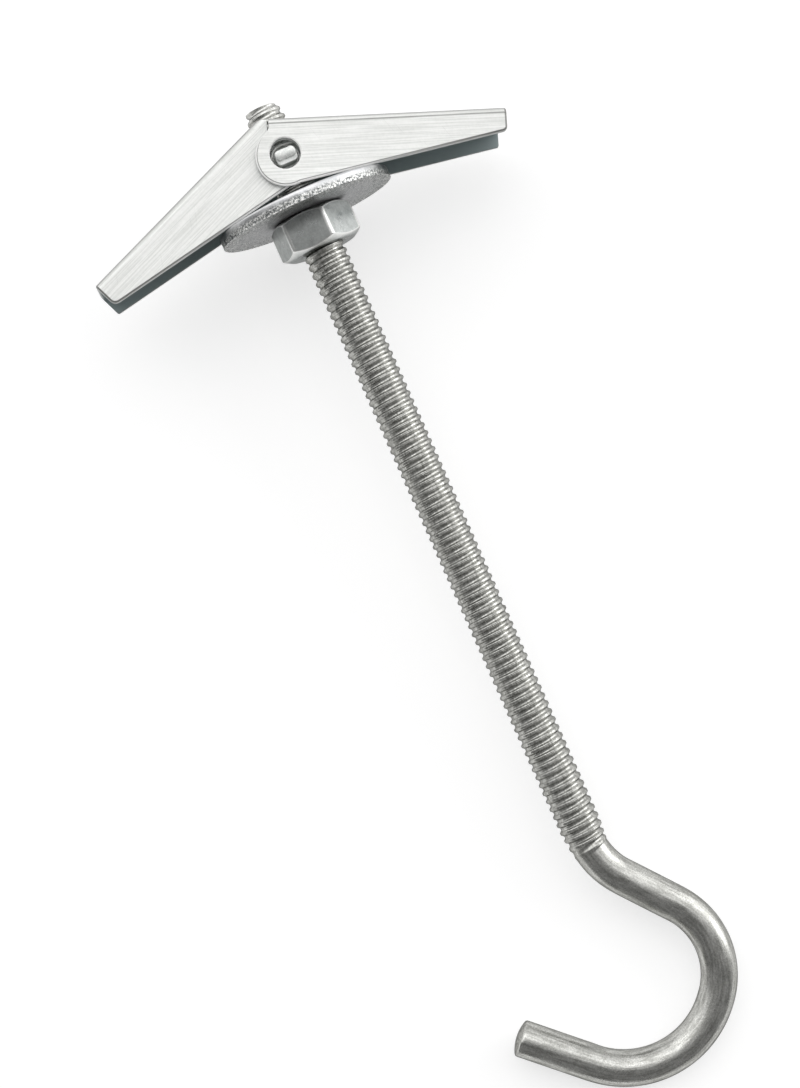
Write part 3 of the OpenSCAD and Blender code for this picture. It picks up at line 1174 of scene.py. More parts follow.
@dataclass(frozen=True)
class Washer:
    """Stamped washer: the rim is rolled over where the punch met it and torn at the other face.

    Attributes:
        outer_r: radius of the rim.
        hole_r: radius of the hole.
        thick: thickness.
        face: where the rolled face lies along the rod.
        roll: round of the rolled edges.
        edge: round of the torn ones.
        tear_starts: how far below the rolled face the torn band starts.
        tear_fade: half the width over which its mark sets in.
        tear_depth: depth of the tear.
        tear_rows: width between its rows of points.
        columns: points round the rim.
        seed: seed of the grains.
    """

    outer_r: float = 13.3
    hole_r: float = 3.5
    thick: float = 1.7
    face: float = 6.58
    roll: float = 0.4
    edge: float = 0.07
    tear_starts: float = 0.86
    tear_fade: float = 0.1
    tear_depth: float = 0.05
    tear_rows: float = 0.12
    columns: int = 300
    seed: int = 7

    def surface(self) -> Surface:
        """The washer: a loop through hole, face, rim and face, with seeded grains on the torn band.

        A grain takes a random share of the tear's depth off the radius.

        Returns:
            The closed surface.
        """
        rows = np.arange(self.tear_starts, self.thick - 2 * self.edge, self.tear_rows)
        rim = [(0, self.outer_r), *((x, self.outer_r) for x in rows), (self.thick, self.outer_r)]
        corners = np.array([(0, self.hole_r), *rim, (self.thick, self.hole_r)])
        cuts = [self.edge, self.roll, *(0 * rows), self.edge, self.roll]
        profile = rounded(corners, cuts)
        angle = np.linspace(0, TURN, self.columns, endpoint=False)
        torn = (profile[:, 0] > self.tear_starts) & (profile[:, 1] > self.outer_r - WELD)
        grains = np.random.default_rng(self.seed).random((len(profile), self.columns))
        every = np.repeat(profile[:, None], self.columns, axis=1)
        every[..., 1] -= self.tear_depth * grains * torn[:, None]
        every[..., 0] += self.face
        surface = turned(every, angle)
        along, out = surface.points[:, 0] - self.face, np.linalg.norm(surface.points[:, 1:], axis=1)
        fade = np.clip((along - self.tear_starts + self.tear_fade) / (2 * self.tear_fade), 0, 1)
        surface.marks["torn"] = (out > self.outer_r - 2 * self.tear_depth) * fade
        return surface

    def build(self, lay: Lay) -> None:
        """Makes the washer and dresses it."""
        piece = put_mesh("stamped_washer", self.surface(), lay, rolled=False)
        dress(piece, Body.LOCKNUT, Slot.WASHER, WASHER_PLATE, "flat_washer")


# ---- Trunnion nut and spring ----


@dataclass(frozen=True)
class TrunnionNut:
    """Barrel nut on the rod with a flat arm out to each wing.

    Attributes:
        barrel_r: radius of the barrel.
        length: its length along the rod.
        flat: height of its two flats off the rod's axis.
        bore_r: radius of the bore.
        sink: width and depth of the bore's countersink.
        thin_wall: where bore and flat are closer than this, the bore is narrower by as much.
        edge: round of the barrel's edges.
        columns: points round the barrel.
        arm_shift: how far the arms' middle lies towards the hook.
        arm_t: thickness of the arms along the rod.
        arm_w: width of the arms across it.
        arm_r: round of their long edges.
        arm_sunk: how far they start inside the barrel.
        arm_end: height of their ends off the rod's axis.
        step_t: how much thinner each end is on the hook's side.
        step_z: length of that thinner end.
        shoulder: how far short of the step, and how much, its edge is rounded.
        step_rise: length over which the step is made.
        end_round: rings of an arm's end: how far short of it, and how much drawn in.
        corner_points: points round each long edge.
    """

    barrel_r: float = 4.4
    length: float = 4.4
    flat: float = 3.4
    bore_r: float = 3.2
    sink: float = 0.35
    thin_wall: float = 0.3
    edge: float = 0.15
    columns: int = 96
    arm_shift: float = 0.3
    arm_t: float = 2.1
    arm_w: float = 3.1
    arm_r: float = 0.6
    arm_sunk: float = 0.4
    arm_end: float = 6.7
    step_t: float = 0.6
    step_z: float = 0.45
    shoulder: tuple[float, float] = (0.05, 0.06)
    step_rise: float = 0.01
    end_round: tuple[tuple[float, float], ...] = ((0.12, 0.02), (0.04, 0.06), (0, 0.14))
    corner_points: int = 7

    def barrel(self) -> Surface:
        """The barrel: round but for its two flats, each an equal height off the rod's axis.

        The radius on a flat is its height over the sine.

        Returns:
            The closed surface.
        """
        angle = np.linspace(0, TURN, self.columns, endpoint=False)
        least_sine = self.flat / self.barrel_r / 2  # keeps the sine off nothing, where the barrel is round
        outside = np.minimum(self.barrel_r, self.flat / np.maximum(np.abs(np.sin(angle)), least_sine))
        open_r = np.minimum(self.bore_r + self.sink, outside - 2 * self.edge)
        bore_r = self.bore_r - self.thin_wall * (outside < self.bore_r + self.thin_wall)
        half = self.length / 2
        near = [(self.sink - half, bore_r), (-half, open_r), (-half, outside)]
        far = [(-x, r) for x, r in reversed(near)]
        cuts = [0, 0, self.edge]
        return turned(rounded(by_angle(near + far, angle), cuts + cuts[::-1]), angle)

    def arm(self, side: int) -> Surface:
        """One arm: a bar of rounded section whose end is stepped down on the hook's side.

        Each ring is the rounded rectangle of its level, drawn in towards the end by the edge's round.

        Args:
            side: 1 for the arm on the side of the near ears, -1 for the other.

        Returns:
            The closed surface.
        """
        ledge = self.arm_end - self.step_z
        levels = [
            (self.flat - self.arm_sunk, 0, 0),
            (ledge - self.shoulder[0], 0, 0),
            (ledge, 0, self.shoulder[1]),
            (ledge + self.step_rise, self.step_t, self.end_round[0][1]),
        ]
        levels += [(self.arm_end - short, self.step_t, inset) for short, inset in self.end_round]
        rings = [self.section(step, inset) for _, step, inset in levels]
        z = side * np.repeat([level[0] for level in levels], len(rings[0]))
        points = np.column_stack([np.concatenate(rings), z])
        count, columns = len(levels), len(rings[0])
        faces = quads(wrapped(np.arange(count * columns).reshape(count, columns))).tolist()
        faces += [list(range(columns))[::-1], list(range((count - 1) * columns, count * columns))]
        return Surface(points, faces, points[:, [2, 0, 1]])

    def section(self, step: float, inset: float) -> np.ndarray:
        """The arm's section: a rectangle with rounded corners.

        Args:
            step: how much thinner it is on the hook's side.
            inset: how far it is drawn in all round.

        Returns:
            Rows of (along the rod, across).
        """
        low = self.arm_shift - self.arm_t / 2 + inset
        high = self.arm_shift + self.arm_t / 2 - step - inset
        half, r = self.arm_w / 2 - inset, self.arm_r - inset
        x, y = (low + r, high - r, high - r, low + r), (r - half, r - half, half - r, half - r)
        corners = zip(x, y, (180, 270, 0, 90))
        return np.concatenate([arc((a, b), r, t, t + 90, self.corner_points) for a, b, t in corners])

    def build(self, lay: Lay) -> None:
        """Makes the trunnion nut and dresses it."""
        surface = joined([self.barrel(), self.arm(1), self.arm(-1)])
        piece = put_mesh("barrel_nut", surface, lay, rolled=True)
        dress(piece, Body.TOGGLE, Slot.NUT, BARREL_PLATE, "trunnion_nut")


@dataclass(frozen=True)
class Spring:
    """Torsion spring of one wire: two coils on the trunnion's arms, and a leg under each web.

    Attributes:
        wire_r: radius of the wire.
        play: gap between the coils and the arms' edges.
        gap: gap between the turns of a coil, and between it and the barrel's flat.
        web_gap: gap between a leg's end and the web above it.
        reach: how far out from the pivot the legs end.
        bridge_r: radius of the bends into the bridge that joins the two inner legs.
        stub: how much of each leg stays with the coil.
        coil_points: points along a coil.
        leg_points: points along a leg.
        stub_points: points along a stub.
        bend_points: points round a bend.
    """

    middle = (TrunnionNut.arm_shift, 0.0)  # the coils' middle, in the plane of the hook

    wire_r: float = 0.225
    play: float = 0.15
    gap: float = 0.03
    web_gap: float = 0.05
    reach: float = 9.0
    bridge_r: float = 0.9
    stub: float = 2.3
    coil_points: int = 72
    leg_points: int = 20
    stub_points: int = 8
    bend_points: int = 12

    def on_web(self, web: float, slope: float, side: int) -> np.ndarray:
        """The end of a leg: out along a web and under its sheet.

        Args:
            web: height of the web's outside off the pivot.
            slope: slope of the web as the wing stands open, in degrees.
            side: 1 for the outer wing's side, -1 for the inner one's.

        Returns:
            The end's place in the plane of the hook.
        """
        s, c = np.sin(np.radians(slope)), np.cos(np.radians(slope))
        under = web - Wing.sheet - self.wire_r - self.web_gap
        return np.array([self.reach * s - under * c, side * (self.reach * c + under * s)])

    def levels(self) -> tuple[float, float]:
        """Heights of the coil's inner and outer turn off the rod's axis."""
        inner = TrunnionNut.flat + self.wire_r + self.gap
        return inner, inner + 2 * self.wire_r + self.gap

    def coil_r(self) -> float:
        """Radius of the coils, just clear of the arm's rounded edges."""
        arm = TrunnionNut
        corner = np.hypot(arm.arm_w / 2 - arm.arm_r, arm.arm_t / 2 - arm.arm_r) + arm.arm_r
        return corner + self.wire_r + self.play

    def touch(self, leg: np.ndarray, side: int) -> float:
        """Where a leg leaves the coil, on the side away from the hook.

        A tangent from a point meets a circle at the arc cosine of radius over distance off the line to
        its middle.

        Args:
            leg: the leg's end.
            side: 1 for the outer wing's leg, -1 for the inner one's.

        Returns:
            The angle about the coil's middle, in radians.
        """
        off = leg - np.array(self.middle)
        swing = side * np.arccos(self.coil_r() / np.hypot(*off))
        return np.arctan2(off[1], off[0]) + swing + (0 if side > 0 else TURN)

    def half(self) -> tuple[np.ndarray, np.ndarray, np.ndarray]:
        """One half of the spring, on the side of the near ears.

        The coil runs linearly down its axis while it goes round. It keeps a stub of each leg, so the legs
        clear the trunnion's arm as they swing.

        Returns:
            Paths of the outer leg, the coil, and the inner leg with its half of the bridge.
        """
        outer = self.on_web(Wing.outer().web, Wing.outer().slope, 1)
        inner = self.on_web(Wing.inner().web, Wing.inner().slope, -1)
        low, high = self.levels()
        start, end = self.touch(outer, 1), TURN + self.touch(inner, -1)
        share = np.linspace(0, 1, self.coil_points)
        angle = start + (end - start) * share
        ring = self.coil_r() * np.stack([np.cos(angle), np.sin(angle)], axis=-1)
        coil = np.column_stack([np.array(self.middle) + ring, high + (low - high) * share])
        outer_leg, lead_in = self.parted(np.array([*outer, high]), coil[0])
        way = inner - coil[-1, :2]
        way /= np.linalg.norm(way)
        bend = np.linspace(0, TURN / 4, self.bend_points)[:, None]
        flat = inner + way * self.bridge_r * (np.sin(bend) - 1)
        corner = np.column_stack([flat, low - self.bridge_r * (1 - np.cos(bend))])
        inner_leg, lead_out = self.parted(corner[0], coil[-1])
        inner_leg = np.concatenate([inner_leg[::-1], corner[1:]])
        return outer_leg, np.concatenate([lead_in, coil[1:], lead_out[::-1][1:]]), inner_leg

    def parted(self, end: np.ndarray, at_coil: np.ndarray) -> tuple[np.ndarray, np.ndarray]:
        """Parts a straight leg a stub short of the coil.

        Args:
            end: the leg's far end.
            at_coil: its end at the coil.

        Returns:
            Points of the leg and of the stub, both towards the coil.
        """
        cut = at_coil + (end - at_coil) * self.stub / np.linalg.norm(at_coil - end)
        return np.linspace(end, cut, self.leg_points), np.linspace(cut, at_coil, self.stub_points)

    def build(self, lay: Lay) -> None:
        """Makes the spring in the three parts that move apart, and dresses them.

        Args:
            lay: where the bolt lies.
        """
        outer_leg, coil, inner_leg = self.half()
        mirror, up = np.array([1, 1, -1]), np.array([0, 0, 1.0])
        flat = np.cross(inner_leg[1] - inner_leg[0], up)
        bridge = np.concatenate([inner_leg, (inner_leg * mirror)[::-1]])
        parts = {
            "spring_coils": (Body.TOGGLE, up, [coil, coil * mirror]),
            "spring_outer_legs": (Body.OUTER_WING, up, [outer_leg, outer_leg * mirror]),
            "spring_inner_legs": (Body.INNER_WING, flat, [bridge]),
        }
        for name, (body, reference, paths) in parts.items():
            wires = [tube(path, reference, self.wire_r) for path in paths]
            faced = [Surface(s.points, outward(s.points, s.faces), s.stock) for s in wires]
            piece = put_mesh(name, joined(faced), lay, rolled=True)
            dress(piece, body, Slot.SPRING, SPRING_STEEL_GLINT, "torsion_spring")


# ---- Wings ----


@dataclass(frozen=True)
class RimZones:
    """How the sheet's rim is finished, with its painted shade and highlight, at each of its points.

    Attributes:
        roll: radius of the rolled edge.
        wear: how dark its painted shade is.
        rub: how bright the cut face's painted highlight is.
    """

    roll: np.ndarray
    wear: np.ndarray
    rub: np.ndarray


@dataclass(frozen=True)
class RimRow:
    """One row of points along the sheet's rim.

    Attributes:
        step: how far each point lies in from the outline.
        deep: how deep each lies below the outer skin.
        facing: the share of the normal that points out of the outer skin.
        aside: the share of it that points out of the edge.
    """

    step: np.ndarray
    deep: np.ndarray
    facing: float
    aside: float


@dataclass(frozen=True)
class Patch:
    """Some points of a folded sheet.

    Attributes:
        points: the points.
        normals: the normals there.
        stock: their places on the blank (v, y, depth).
        worn: how dark the painted shade is there.
        sheared: how bright the cut steel and its painted highlight show there.
    """

    points: np.ndarray
    normals: np.ndarray
    stock: np.ndarray
    worn: np.ndarray
    sheared: np.ndarray


@dataclass(frozen=True)
class Wing:
    """A wing: a flat blank with its outline, holes and notch, folded along two lines into a channel.

    On the blank, v runs across from the middle of the web and y out along it from the pivot. Local x is
    how far a point of the folded wing lies off the pivot, against the side of its web.

    Attributes:
        name: the piece's name.
        node: the frame's node that it stands for.
        body: the body that it rides on.
        width: width over both flanges.
        web: height of the web's outside off the pivot.
        slope: slope of the web as the wing stands open, in degrees.
        edge: distance of the flanges' free edges from the pivot.
        droop: slope of the free edges as the wing stands open, in degrees.
        reach: distance of the tip from the pivot along the web.
        notch_w: width of the notch for the rod.
        notch_end: how far out along the web it ends.
        heel: corners (x, y) of the end at the rod, from the web on.
        ear: how far the round ear's middle lies off the pivot, and its radius.
        fillet: radius of the fillet between heel and ear; 0 lets the heel run straight into the ear.
        near_tip_r: round of the near flange's tip.
        slot: width, reach and lean in degrees of the slot in the far ear.
        bend_wear: how dark the shade painted along the fold is, at shares of its width.
        side: 1 for the wing on the side of +Y, -1 for the other.
    """

    sheet = 1.0  # thickness
    fold_r = 0.9  # outer radius of the folds
    inner_fold_r = 0.2  # their inner radius
    fold_zone = 1.16  # width of a fold on the blank
    fold_strips = 10  # strips that it is made of
    pivot_r = 2.25  # radius of the pivot holes
    far_tip_r = 0.3  # round of the far flange's tip
    roll = 0.36  # radius of the rolled edge
    heel_roll = 0.1  # the same at the heel
    hole_roll = 0.16  # the same in the holes
    burr = 0.06  # radius of the edge at the inner skin
    roll_steps = 6  # rows of the rolled edge
    burr_steps = 4  # rows of the edge at the inner skin
    least_turn = 1.2  # keeps the inset bounded at the rim's sharpest corners
    hole_margin = 0.1  # width round a hole that counts as in it
    ear_from = -3.2  # x at which the heel's finish begins to go over into the ear's
    ear_over = 2.4  # width over which it does
    hole_shade = 0.2  # how dark the painted shade is in the holes
    edge_shade = ((0.0, 0), (0.3, 0.9), (0.55, 0.9), (0.85, 0.5), (1.0, 0.15))  # how dark the painted shade is on the rim, by a row's aside
    rub = ((8.0, 1.0), (17.0, 0.0))  # how bright the cut face is painted as a highlight, along y
    highlight_from = 0.55  # the least aside of a row that carries the painted highlight
    highlight_lean = 0.15  # aside of the normal of a row that carries the painted highlight
    strip_ends = (-8.0, 1.0)  # y where the strips of the folds start, and how far past the tip they end
    heel_margin = 0.15  # how far short of its last corner the heel's line is held
    tip_lead = 6.0  # length of free edge that leads into the tip's round
    same_point = 1e-6  # points of the blank closer than this are one
    least_area = 1e-9  # twice the area below which a triangle of the blank is left out
    heel_steps = 400  # points along the heel's side, of which one is kept
    fillet_steps = 8  # points of the fillet
    ear_steps = 40  # points of an ear
    tip_steps = 7  # points of a tip's round
    notch_steps = 33  # points of the notch
    hole_steps = 48  # points of a pivot hole
    slot_steps = (36, 18)  # points of the slotted hole and of the slot's end

    name: str
    node: str
    body: Body
    width: float
    web: float
    slope: float
    edge: float
    droop: float
    reach: float
    notch_w: float
    notch_end: float
    heel: tuple[tuple[float, float], ...]
    ear: tuple[float, float]
    fillet: float
    near_tip_r: float
    slot: tuple[float, float, float] | None
    bend_wear: tuple[tuple[float, float], ...]
    side: int

    @classmethod
    def outer(cls) -> "Wing":
        """The wider wing, whose ears lie outside."""
        return cls(
            name="wide_wing",
            node="wing_outer",
            body=Body.OUTER_WING,
            width=13.2,
            web=5.17,
            slope=20.5,
            edge=4.5,
            droop=9.3,
            reach=32.2,
            notch_w=7.7,
            notch_end=2.9,
            heel=((-5.17, -2.15), (0, -2.15)),
            ear=(0.37, 4.3),
            fillet=1.2,
            near_tip_r=0.65,
            slot=None,
            bend_wear=((0, 0), (0.1, 0.7), (0.4, 0.7), (0.6, 0.2), (0.7, 0.1), (0.8, 0.8), (0.9, 0)),
            side=1,
        )

    @classmethod
    def inner(cls) -> "Wing":
        """The narrower wing, whose ears lie inside; one ear is slotted to go over the trunnion's arm."""
        return cls(
            name="narrow_wing",
            node="wing_inner",
            body=Body.INNER_WING,
            width=10.9,
            web=6.4,
            slope=22.4,
            edge=4.05,
            droop=10.9,
            reach=32.6,
            notch_w=7.0,
            notch_end=1.8,
            heel=((-6.4, -0.6), (-5.4, -1.85), (-3.9, -0.53)),
            ear=(0.0, 4.05),
            fillet=0,
            near_tip_r=1.0,
            slot=(4.0, 8.4, 7.5),
            bend_wear=((0, 0), (0.1, 0.7), (0.4, 0.7), (0.6, 0.2), (0.7, 0.1), (0.8, 0)),
            side=-1,
        )

    @property
    def flat_v(self) -> float:
        """Half the width of the web's flat, up to where the fold begins."""
        return self.width / 2 - self.sheet - self.inner_fold_r

    def on_blank(self, x: np.ndarray | float) -> np.ndarray | float:
        """How far across the blank a flange's points at x lie."""
        return self.flat_v + self.fold_zone + (x + self.web - self.sheet - self.inner_fold_r)

    # -- The blank --

    def filleted_heel(self) -> tuple[list[np.ndarray], float]:
        """The end at the rod with a fillet into the ear.

        The fillet's middle lies its radius below the heel, and as far off the ear's middle as both radii.

        Returns:
            The outline's pieces up to the ear, and the angle at which the ear's arc begins.
        """
        shift, ear_r = self.ear
        drop, f = -self.heel[0][1], self.fillet
        middle = (shift - np.sqrt((ear_r + f) ** 2 - (drop + f) ** 2), -drop - f)
        leaves = np.degrees(np.arctan2(middle[1], middle[0] - shift))
        fillet = arc(middle, f, 90, leaves + 180, self.fillet_steps)
        return [np.array([self.heel[0]]), fillet], leaves

    def straight_heel(self) -> tuple[list[np.ndarray], float]:
        """The end at the rod with its last side run straight into the ear.

        Of the points on that side, the last one that lies outside the ear's circle ends it.

        Returns:
            The outline's pieces up to the ear, and the angle at which the ear's arc begins.
        """
        shift, ear_r = self.ear
        b, c = np.array(self.heel[1]), np.array(self.heel[2])
        line = b + (c - b) * np.linspace(0, 1, self.heel_steps)[:, None]
        last = line[np.hypot(*(line - [shift, 0]).T) > ear_r][-1:]
        leaves = np.degrees(np.arctan2(last[0, 1], last[0, 0] - shift)) - 360 * (last[0, 1] > 0)
        return [np.array([[self.heel[0][0], b[1]], b]), last], leaves

    def flange(self, tip_r: float) -> np.ndarray:
        """One flange's outline.

        The end at the rod, then the ear's arc to where it meets the free edge, the free edge, the tip's
        round corner and the tip.

        Args:
            tip_r: round of the tip's corner.

        Returns:
            Points (x, y) from the end of the web at the rod to the end of the tip.
        """
        taper = np.radians(self.slope - self.droop)
        shift, ear_r = self.ear
        meets = np.degrees(taper + np.arccos(min((self.edge - shift * np.cos(taper)) / ear_r, 1)))
        start, leaves = self.filleted_heel() if self.fillet else self.straight_heel()
        ear = arc((shift, 0), ear_r, leaves, meets, self.ear_steps)
        low = np.array([(self.edge - self.reach * np.sin(taper)) / np.cos(taper), self.reach])
        lead = low + self.tip_lead * np.array([np.sin(taper), -np.cos(taper)])
        corners = np.array([lead, low, [-self.web, self.reach]])
        tip = rounded(corners, [0, tip_r, 0], self.tip_steps)
        return np.concatenate(start + [ear, tip[1:]])

    def loops(self) -> list[np.ndarray]:
        """The blank's outline and its holes.

        Returns:
            Closed loops of (v, y), the outline first.
        """
        halves = []
        for tip_r in (self.near_tip_r, self.far_tip_r):
            flange = self.flange(tip_r)
            half = np.column_stack([np.maximum(self.on_blank(flange[:, 0]), 0), flange[:, 1]])
            half[0, 0] = self.notch_w / 2
            halves.append(half[:-1])
        notch_r = self.notch_w / 2
        notch = arc((0, self.notch_end - notch_r), notch_r, 180, 0, self.notch_steps)
        outline = np.concatenate([halves[0], (halves[1] * [-1, 1])[::-1], notch])
        hole = circle((self.on_blank(0.0), 0), self.pivot_r, self.hole_steps)
        return [outline, hole, self.keyhole() if self.slot else hole * [-1, 1]]

    def keyhole(self) -> np.ndarray:
        """The pivot hole of the slotted ear, run out into its slot; it lies on the far flange.

        Returns:
            A closed loop of (v, y).
        """
        width, reach, lean = self.slot
        swing = np.degrees(np.arccos(width / 2 / self.pivot_r))
        ring_steps, end_steps = self.slot_steps
        ring = arc((0, 0), self.pivot_r, 180 - swing, 360 + swing, ring_steps)
        loop = np.concatenate([ring, arc((0, reach), width / 2, 0, 180, end_steps)])
        x, y, _ = turn_about_z(np.column_stack([loop, 0 * loop[:, 0]]), lean).T
        return np.column_stack([-(self.on_blank(0.0) + x), y])

    def blank(self) -> tuple[np.ndarray, np.ndarray]:
        """The blank cut into triangles, with the strips of the folds kept as edges.

        Returns:
            Points (v, y) and triangles, which turn left as seen on the blank.
        """
        loops = self.loops()
        strips = self.flat_v + np.linspace(0, self.fold_zone, self.fold_strips + 1)
        strips = np.concatenate([-strips, strips])
        start, past = self.strip_ends
        lines = [np.array([[v, start], [v, self.reach + past]]) for v in strips]
        starts = np.cumsum([0] + [len(part) for part in loops + lines])
        edges = [
            (int(first + k), int(first + (k + 1) % len(loop)))
            for first, loop in zip(starts, loops)
            for k in range(len(loop))
        ]
        edges += [(int(first), int(first) + 1) for first in starts[len(loops) : -1]]
        places = [Vector(point) for point in np.concatenate(loops + lines).tolist()]
        found, _, faces = delaunay_2d_cdt(places, edges, [], 1, self.same_point, False)[:3]
        points, faces = (np.array([tuple(row) for row in rows]) for rows in (found, faces))
        faces = faces[self.within(points[faces].mean(axis=1), loops)]
        a, b, c = (points[faces[:, k]] for k in range(3))
        area = (b - a)[:, 0] * (c - a)[:, 1] - (b - a)[:, 1] * (c - a)[:, 0]
        faces = np.where(area[:, None] < 0, faces[:, ::-1], faces)[np.abs(area) > self.least_area]
        kept, now = np.unique(faces, return_inverse=True)
        return points[kept], now.reshape(-1, 3)

    @staticmethod
    def within(points: np.ndarray, loops: list[np.ndarray]) -> np.ndarray:
        """Whether points lie on the sheet: a ray from such a one crosses the loops an odd number of times.

        Args:
            points: the points.
            loops: the closed loops of the outline and the holes.

        Returns:
            True for each point on the sheet.
        """
        a = np.concatenate(loops)
        b = np.concatenate([np.roll(loop, -1, axis=0) for loop in loops])
        x, y = points[:, 0, None], points[:, 1, None]
        spans = (a[:, 1] > y) != (b[:, 1] > y)
        rise = np.where(b[:, 1] == a[:, 1], 1, b[:, 1] - a[:, 1])
        crossing = a[:, 0] + (y - a[:, 1]) * (b[:, 0] - a[:, 0]) / rise
        return (spans & (crossing > x)).sum(axis=1) % 2 == 1

    # -- The folded sheet --

    def folded(self, blank: np.ndarray, depth: np.ndarray) -> tuple[np.ndarray, np.ndarray, np.ndarray]:
        """Folds the blank.

        The outer skin runs straight, round its arc and straight again while the inner skin goes round
        its own small arc. A point between them lies on the line that joins the two skins. Beyond the
        fold both run on along the flange.

        Args:
            blank: points (v, y).
            depth: how deep each lies in the sheet, from 0 at the outer skin to 1 at the inner.

        Returns:
            The folded points, the outward normals there, and the directions in which v grows.
        """
        v, y = np.abs(blank[:, 0]), blank[:, 1]
        side = np.where(blank[:, 0] < 0, -1.0, 1.0)
        share = np.clip((v - self.flat_v) / self.fold_zone, 0, 1)
        margin = self.sheet + self.inner_fold_r - self.fold_r
        length = 2 * margin + self.fold_r * TURN / 4
        run = share * length
        turn = np.clip((run - margin) / self.fold_r, 0, TURN / 4)
        before, past = np.minimum(run, margin), np.maximum(run - length + margin, 0)
        beyond = np.maximum(v - self.flat_v - self.fold_zone, 0)
        outer_x = -self.web + self.fold_r * (1 - np.cos(turn)) + past + beyond
        outer_z = np.minimum(v, self.flat_v) + before + self.fold_r * np.sin(turn)
        inner_turn = share * TURN / 4
        inner_x = self.sheet - self.web + self.inner_fold_r * (1 - np.cos(inner_turn)) + beyond
        inner_z = np.minimum(v, self.flat_v) + self.inner_fold_r * np.sin(inner_turn)
        alpha = turn + (inner_turn - turn) * depth
        x, z = outer_x + (inner_x - outer_x) * depth, outer_z + (inner_z - outer_z) * depth
        zero = np.zeros_like(x)
        normals = np.stack([-np.cos(alpha), zero, side * np.sin(alpha)], axis=-1)
        ways = np.stack([side * np.sin(alpha), zero, np.cos(alpha)], axis=-1)
        return np.stack([x, np.maximum(y, self.heel_line(x)), side * z], axis=-1), normals, ways

    def heel_line(self, x: np.ndarray) -> np.ndarray:
        """The lowest y that the end at the rod leaves; the ears lie beyond it.

        Args:
            x: where along the flange.

        Returns:
            The lowest y at each x, without bound at the ears and on a wing with a fillet.
        """
        if self.fillet:
            return np.full_like(x, -np.inf)
        at, low = zip(*self.heel)
        return np.where(x < at[-1] - self.heel_margin, np.interp(x, at, low), -np.inf)

    def insets(self, points: np.ndarray, faces: np.ndarray) -> tuple[np.ndarray, np.ndarray, np.ndarray]:
        """The sheet's rim: the edges that belong to one triangle only.

        Args:
            points: points of the blank.
            faces: its triangles.

        Returns:
            The edges of the rim, the indices of its points, and for each of these the step into the
            sheet that moves both edges beside it by one.
        """
        edges = np.concatenate([faces[:, [0, 1]], faces[:, [1, 2]], faces[:, [2, 0]]])
        codes, back = edges @ [len(points), 1], edges @ [1, len(points)]
        edges = edges[~np.isin(codes, back)]
        way = points[edges[:, 1]] - points[edges[:, 0]]
        inward = np.stack([-way[:, 1], way[:, 0]], axis=-1) / np.linalg.norm(way, axis=1, keepdims=True)
        total = np.zeros_like(points)
        np.add.at(total, edges[:, 0], inward)
        np.add.at(total, edges[:, 1], inward)
        rim = np.unique(edges)
        total = total[rim]
        square = (total**2).sum(axis=1, keepdims=True)
        return edges, rim, 2 * total / np.maximum(square, self.least_turn)

    def zones(self, blank: np.ndarray) -> RimZones:
        """How the rim is finished, with its painted shade and highlight: less at the heel and in the holes
        than along the flanges and the tip.

        Args:
            blank: the rim's points (v, y).

        Returns:
            The finish at each point.
        """
        centre = self.on_blank(0.0)
        near = np.minimum(*(np.linalg.norm(blank - [side * centre, 0], axis=1) for side in (-1, 1)))
        in_hole = near < self.pivot_r + self.hole_margin
        at_ear = np.clip((np.abs(blank[:, 0]) - centre - self.ear_from) / self.ear_over, 0, 1)
        at_ear = np.where(blank[:, 1] < 0, at_ear, 1)
        roll = self.heel_roll + (self.roll - self.heel_roll) * at_ear
        # Painted shade along the rim and in the holes, and the painted highlight on the cut face, which
        # fades out along y.
        return RimZones(
            roll=np.where(in_hole, self.hole_roll, roll),
            wear=np.where(in_hole, self.hole_shade, at_ear),
            rub=at_ear * np.interp(blank[:, 1], *zip(*self.rub)),
        )

    def rim_rows(self, roll: np.ndarray) -> list[RimRow]:
        """The rows of the rim, from the outer skin over the rolled edge to the inner skin.

        On a rounding of radius a, at an angle from the skin to the rim, a point steps into the sheet by
        a times one less the sine and lies deep by a times one less the cosine.

        Args:
            roll: radius of the rolled edge at each point.

        Returns:
            The rows.
        """
        rows = []
        for a in np.linspace(0, TURN / 4, self.roll_steps):
            rows.append(RimRow(roll * (1 - np.sin(a)), roll * (1 - np.cos(a)), np.cos(a), np.sin(a)))
        burr = np.full_like(roll, self.burr)
        for a in np.linspace(TURN / 4, 0, self.burr_steps):
            deep = self.sheet - burr * (1 - np.cos(a))
            rows.append(RimRow(burr * (1 - np.sin(a)), deep, -np.cos(a), np.sin(a)))
        return rows

    def rim_patch(self, row: RimRow, blank: np.ndarray, inset: np.ndarray, zones: RimZones) -> Patch:
        """One row of the rim, folded.

        Where the cut face carries its painted highlight, the normals of the roll's steep rows lean back to
        the outer skin's.

        Args:
            row: the row.
            blank: the rim's points (v, y).
            inset: the step into the sheet at each.
            zones: the finish at each.

        Returns:
            The row's points.
        """
        at, depth = blank + inset * row.step[:, None], row.deep / self.sheet
        points, normals, ways = self.folded(at, depth)
        unit = inset / np.linalg.norm(inset, axis=1, keepdims=True)
        inward = unit[:, :1] * ways + unit[:, 1:] * np.array([0, 1, 0])
        # The cut face is painted bright, a painted highlight over bare steel, strongest near the pivot.
        sheared = zones.rub * (row.facing >= 0 and row.aside > self.highlight_from)
        up = row.facing + (1 - row.facing) * sheared[:, None]
        out = row.aside + (self.highlight_lean - row.aside) * sheared[:, None]
        # Painted shade: the rim grows darker as its row turns to the side.
        worn = zones.wear * np.interp(row.aside, *zip(*self.edge_shade))
        return Patch(points, up * normals - out * inward, np.column_stack([at, depth]), worn, sheared)

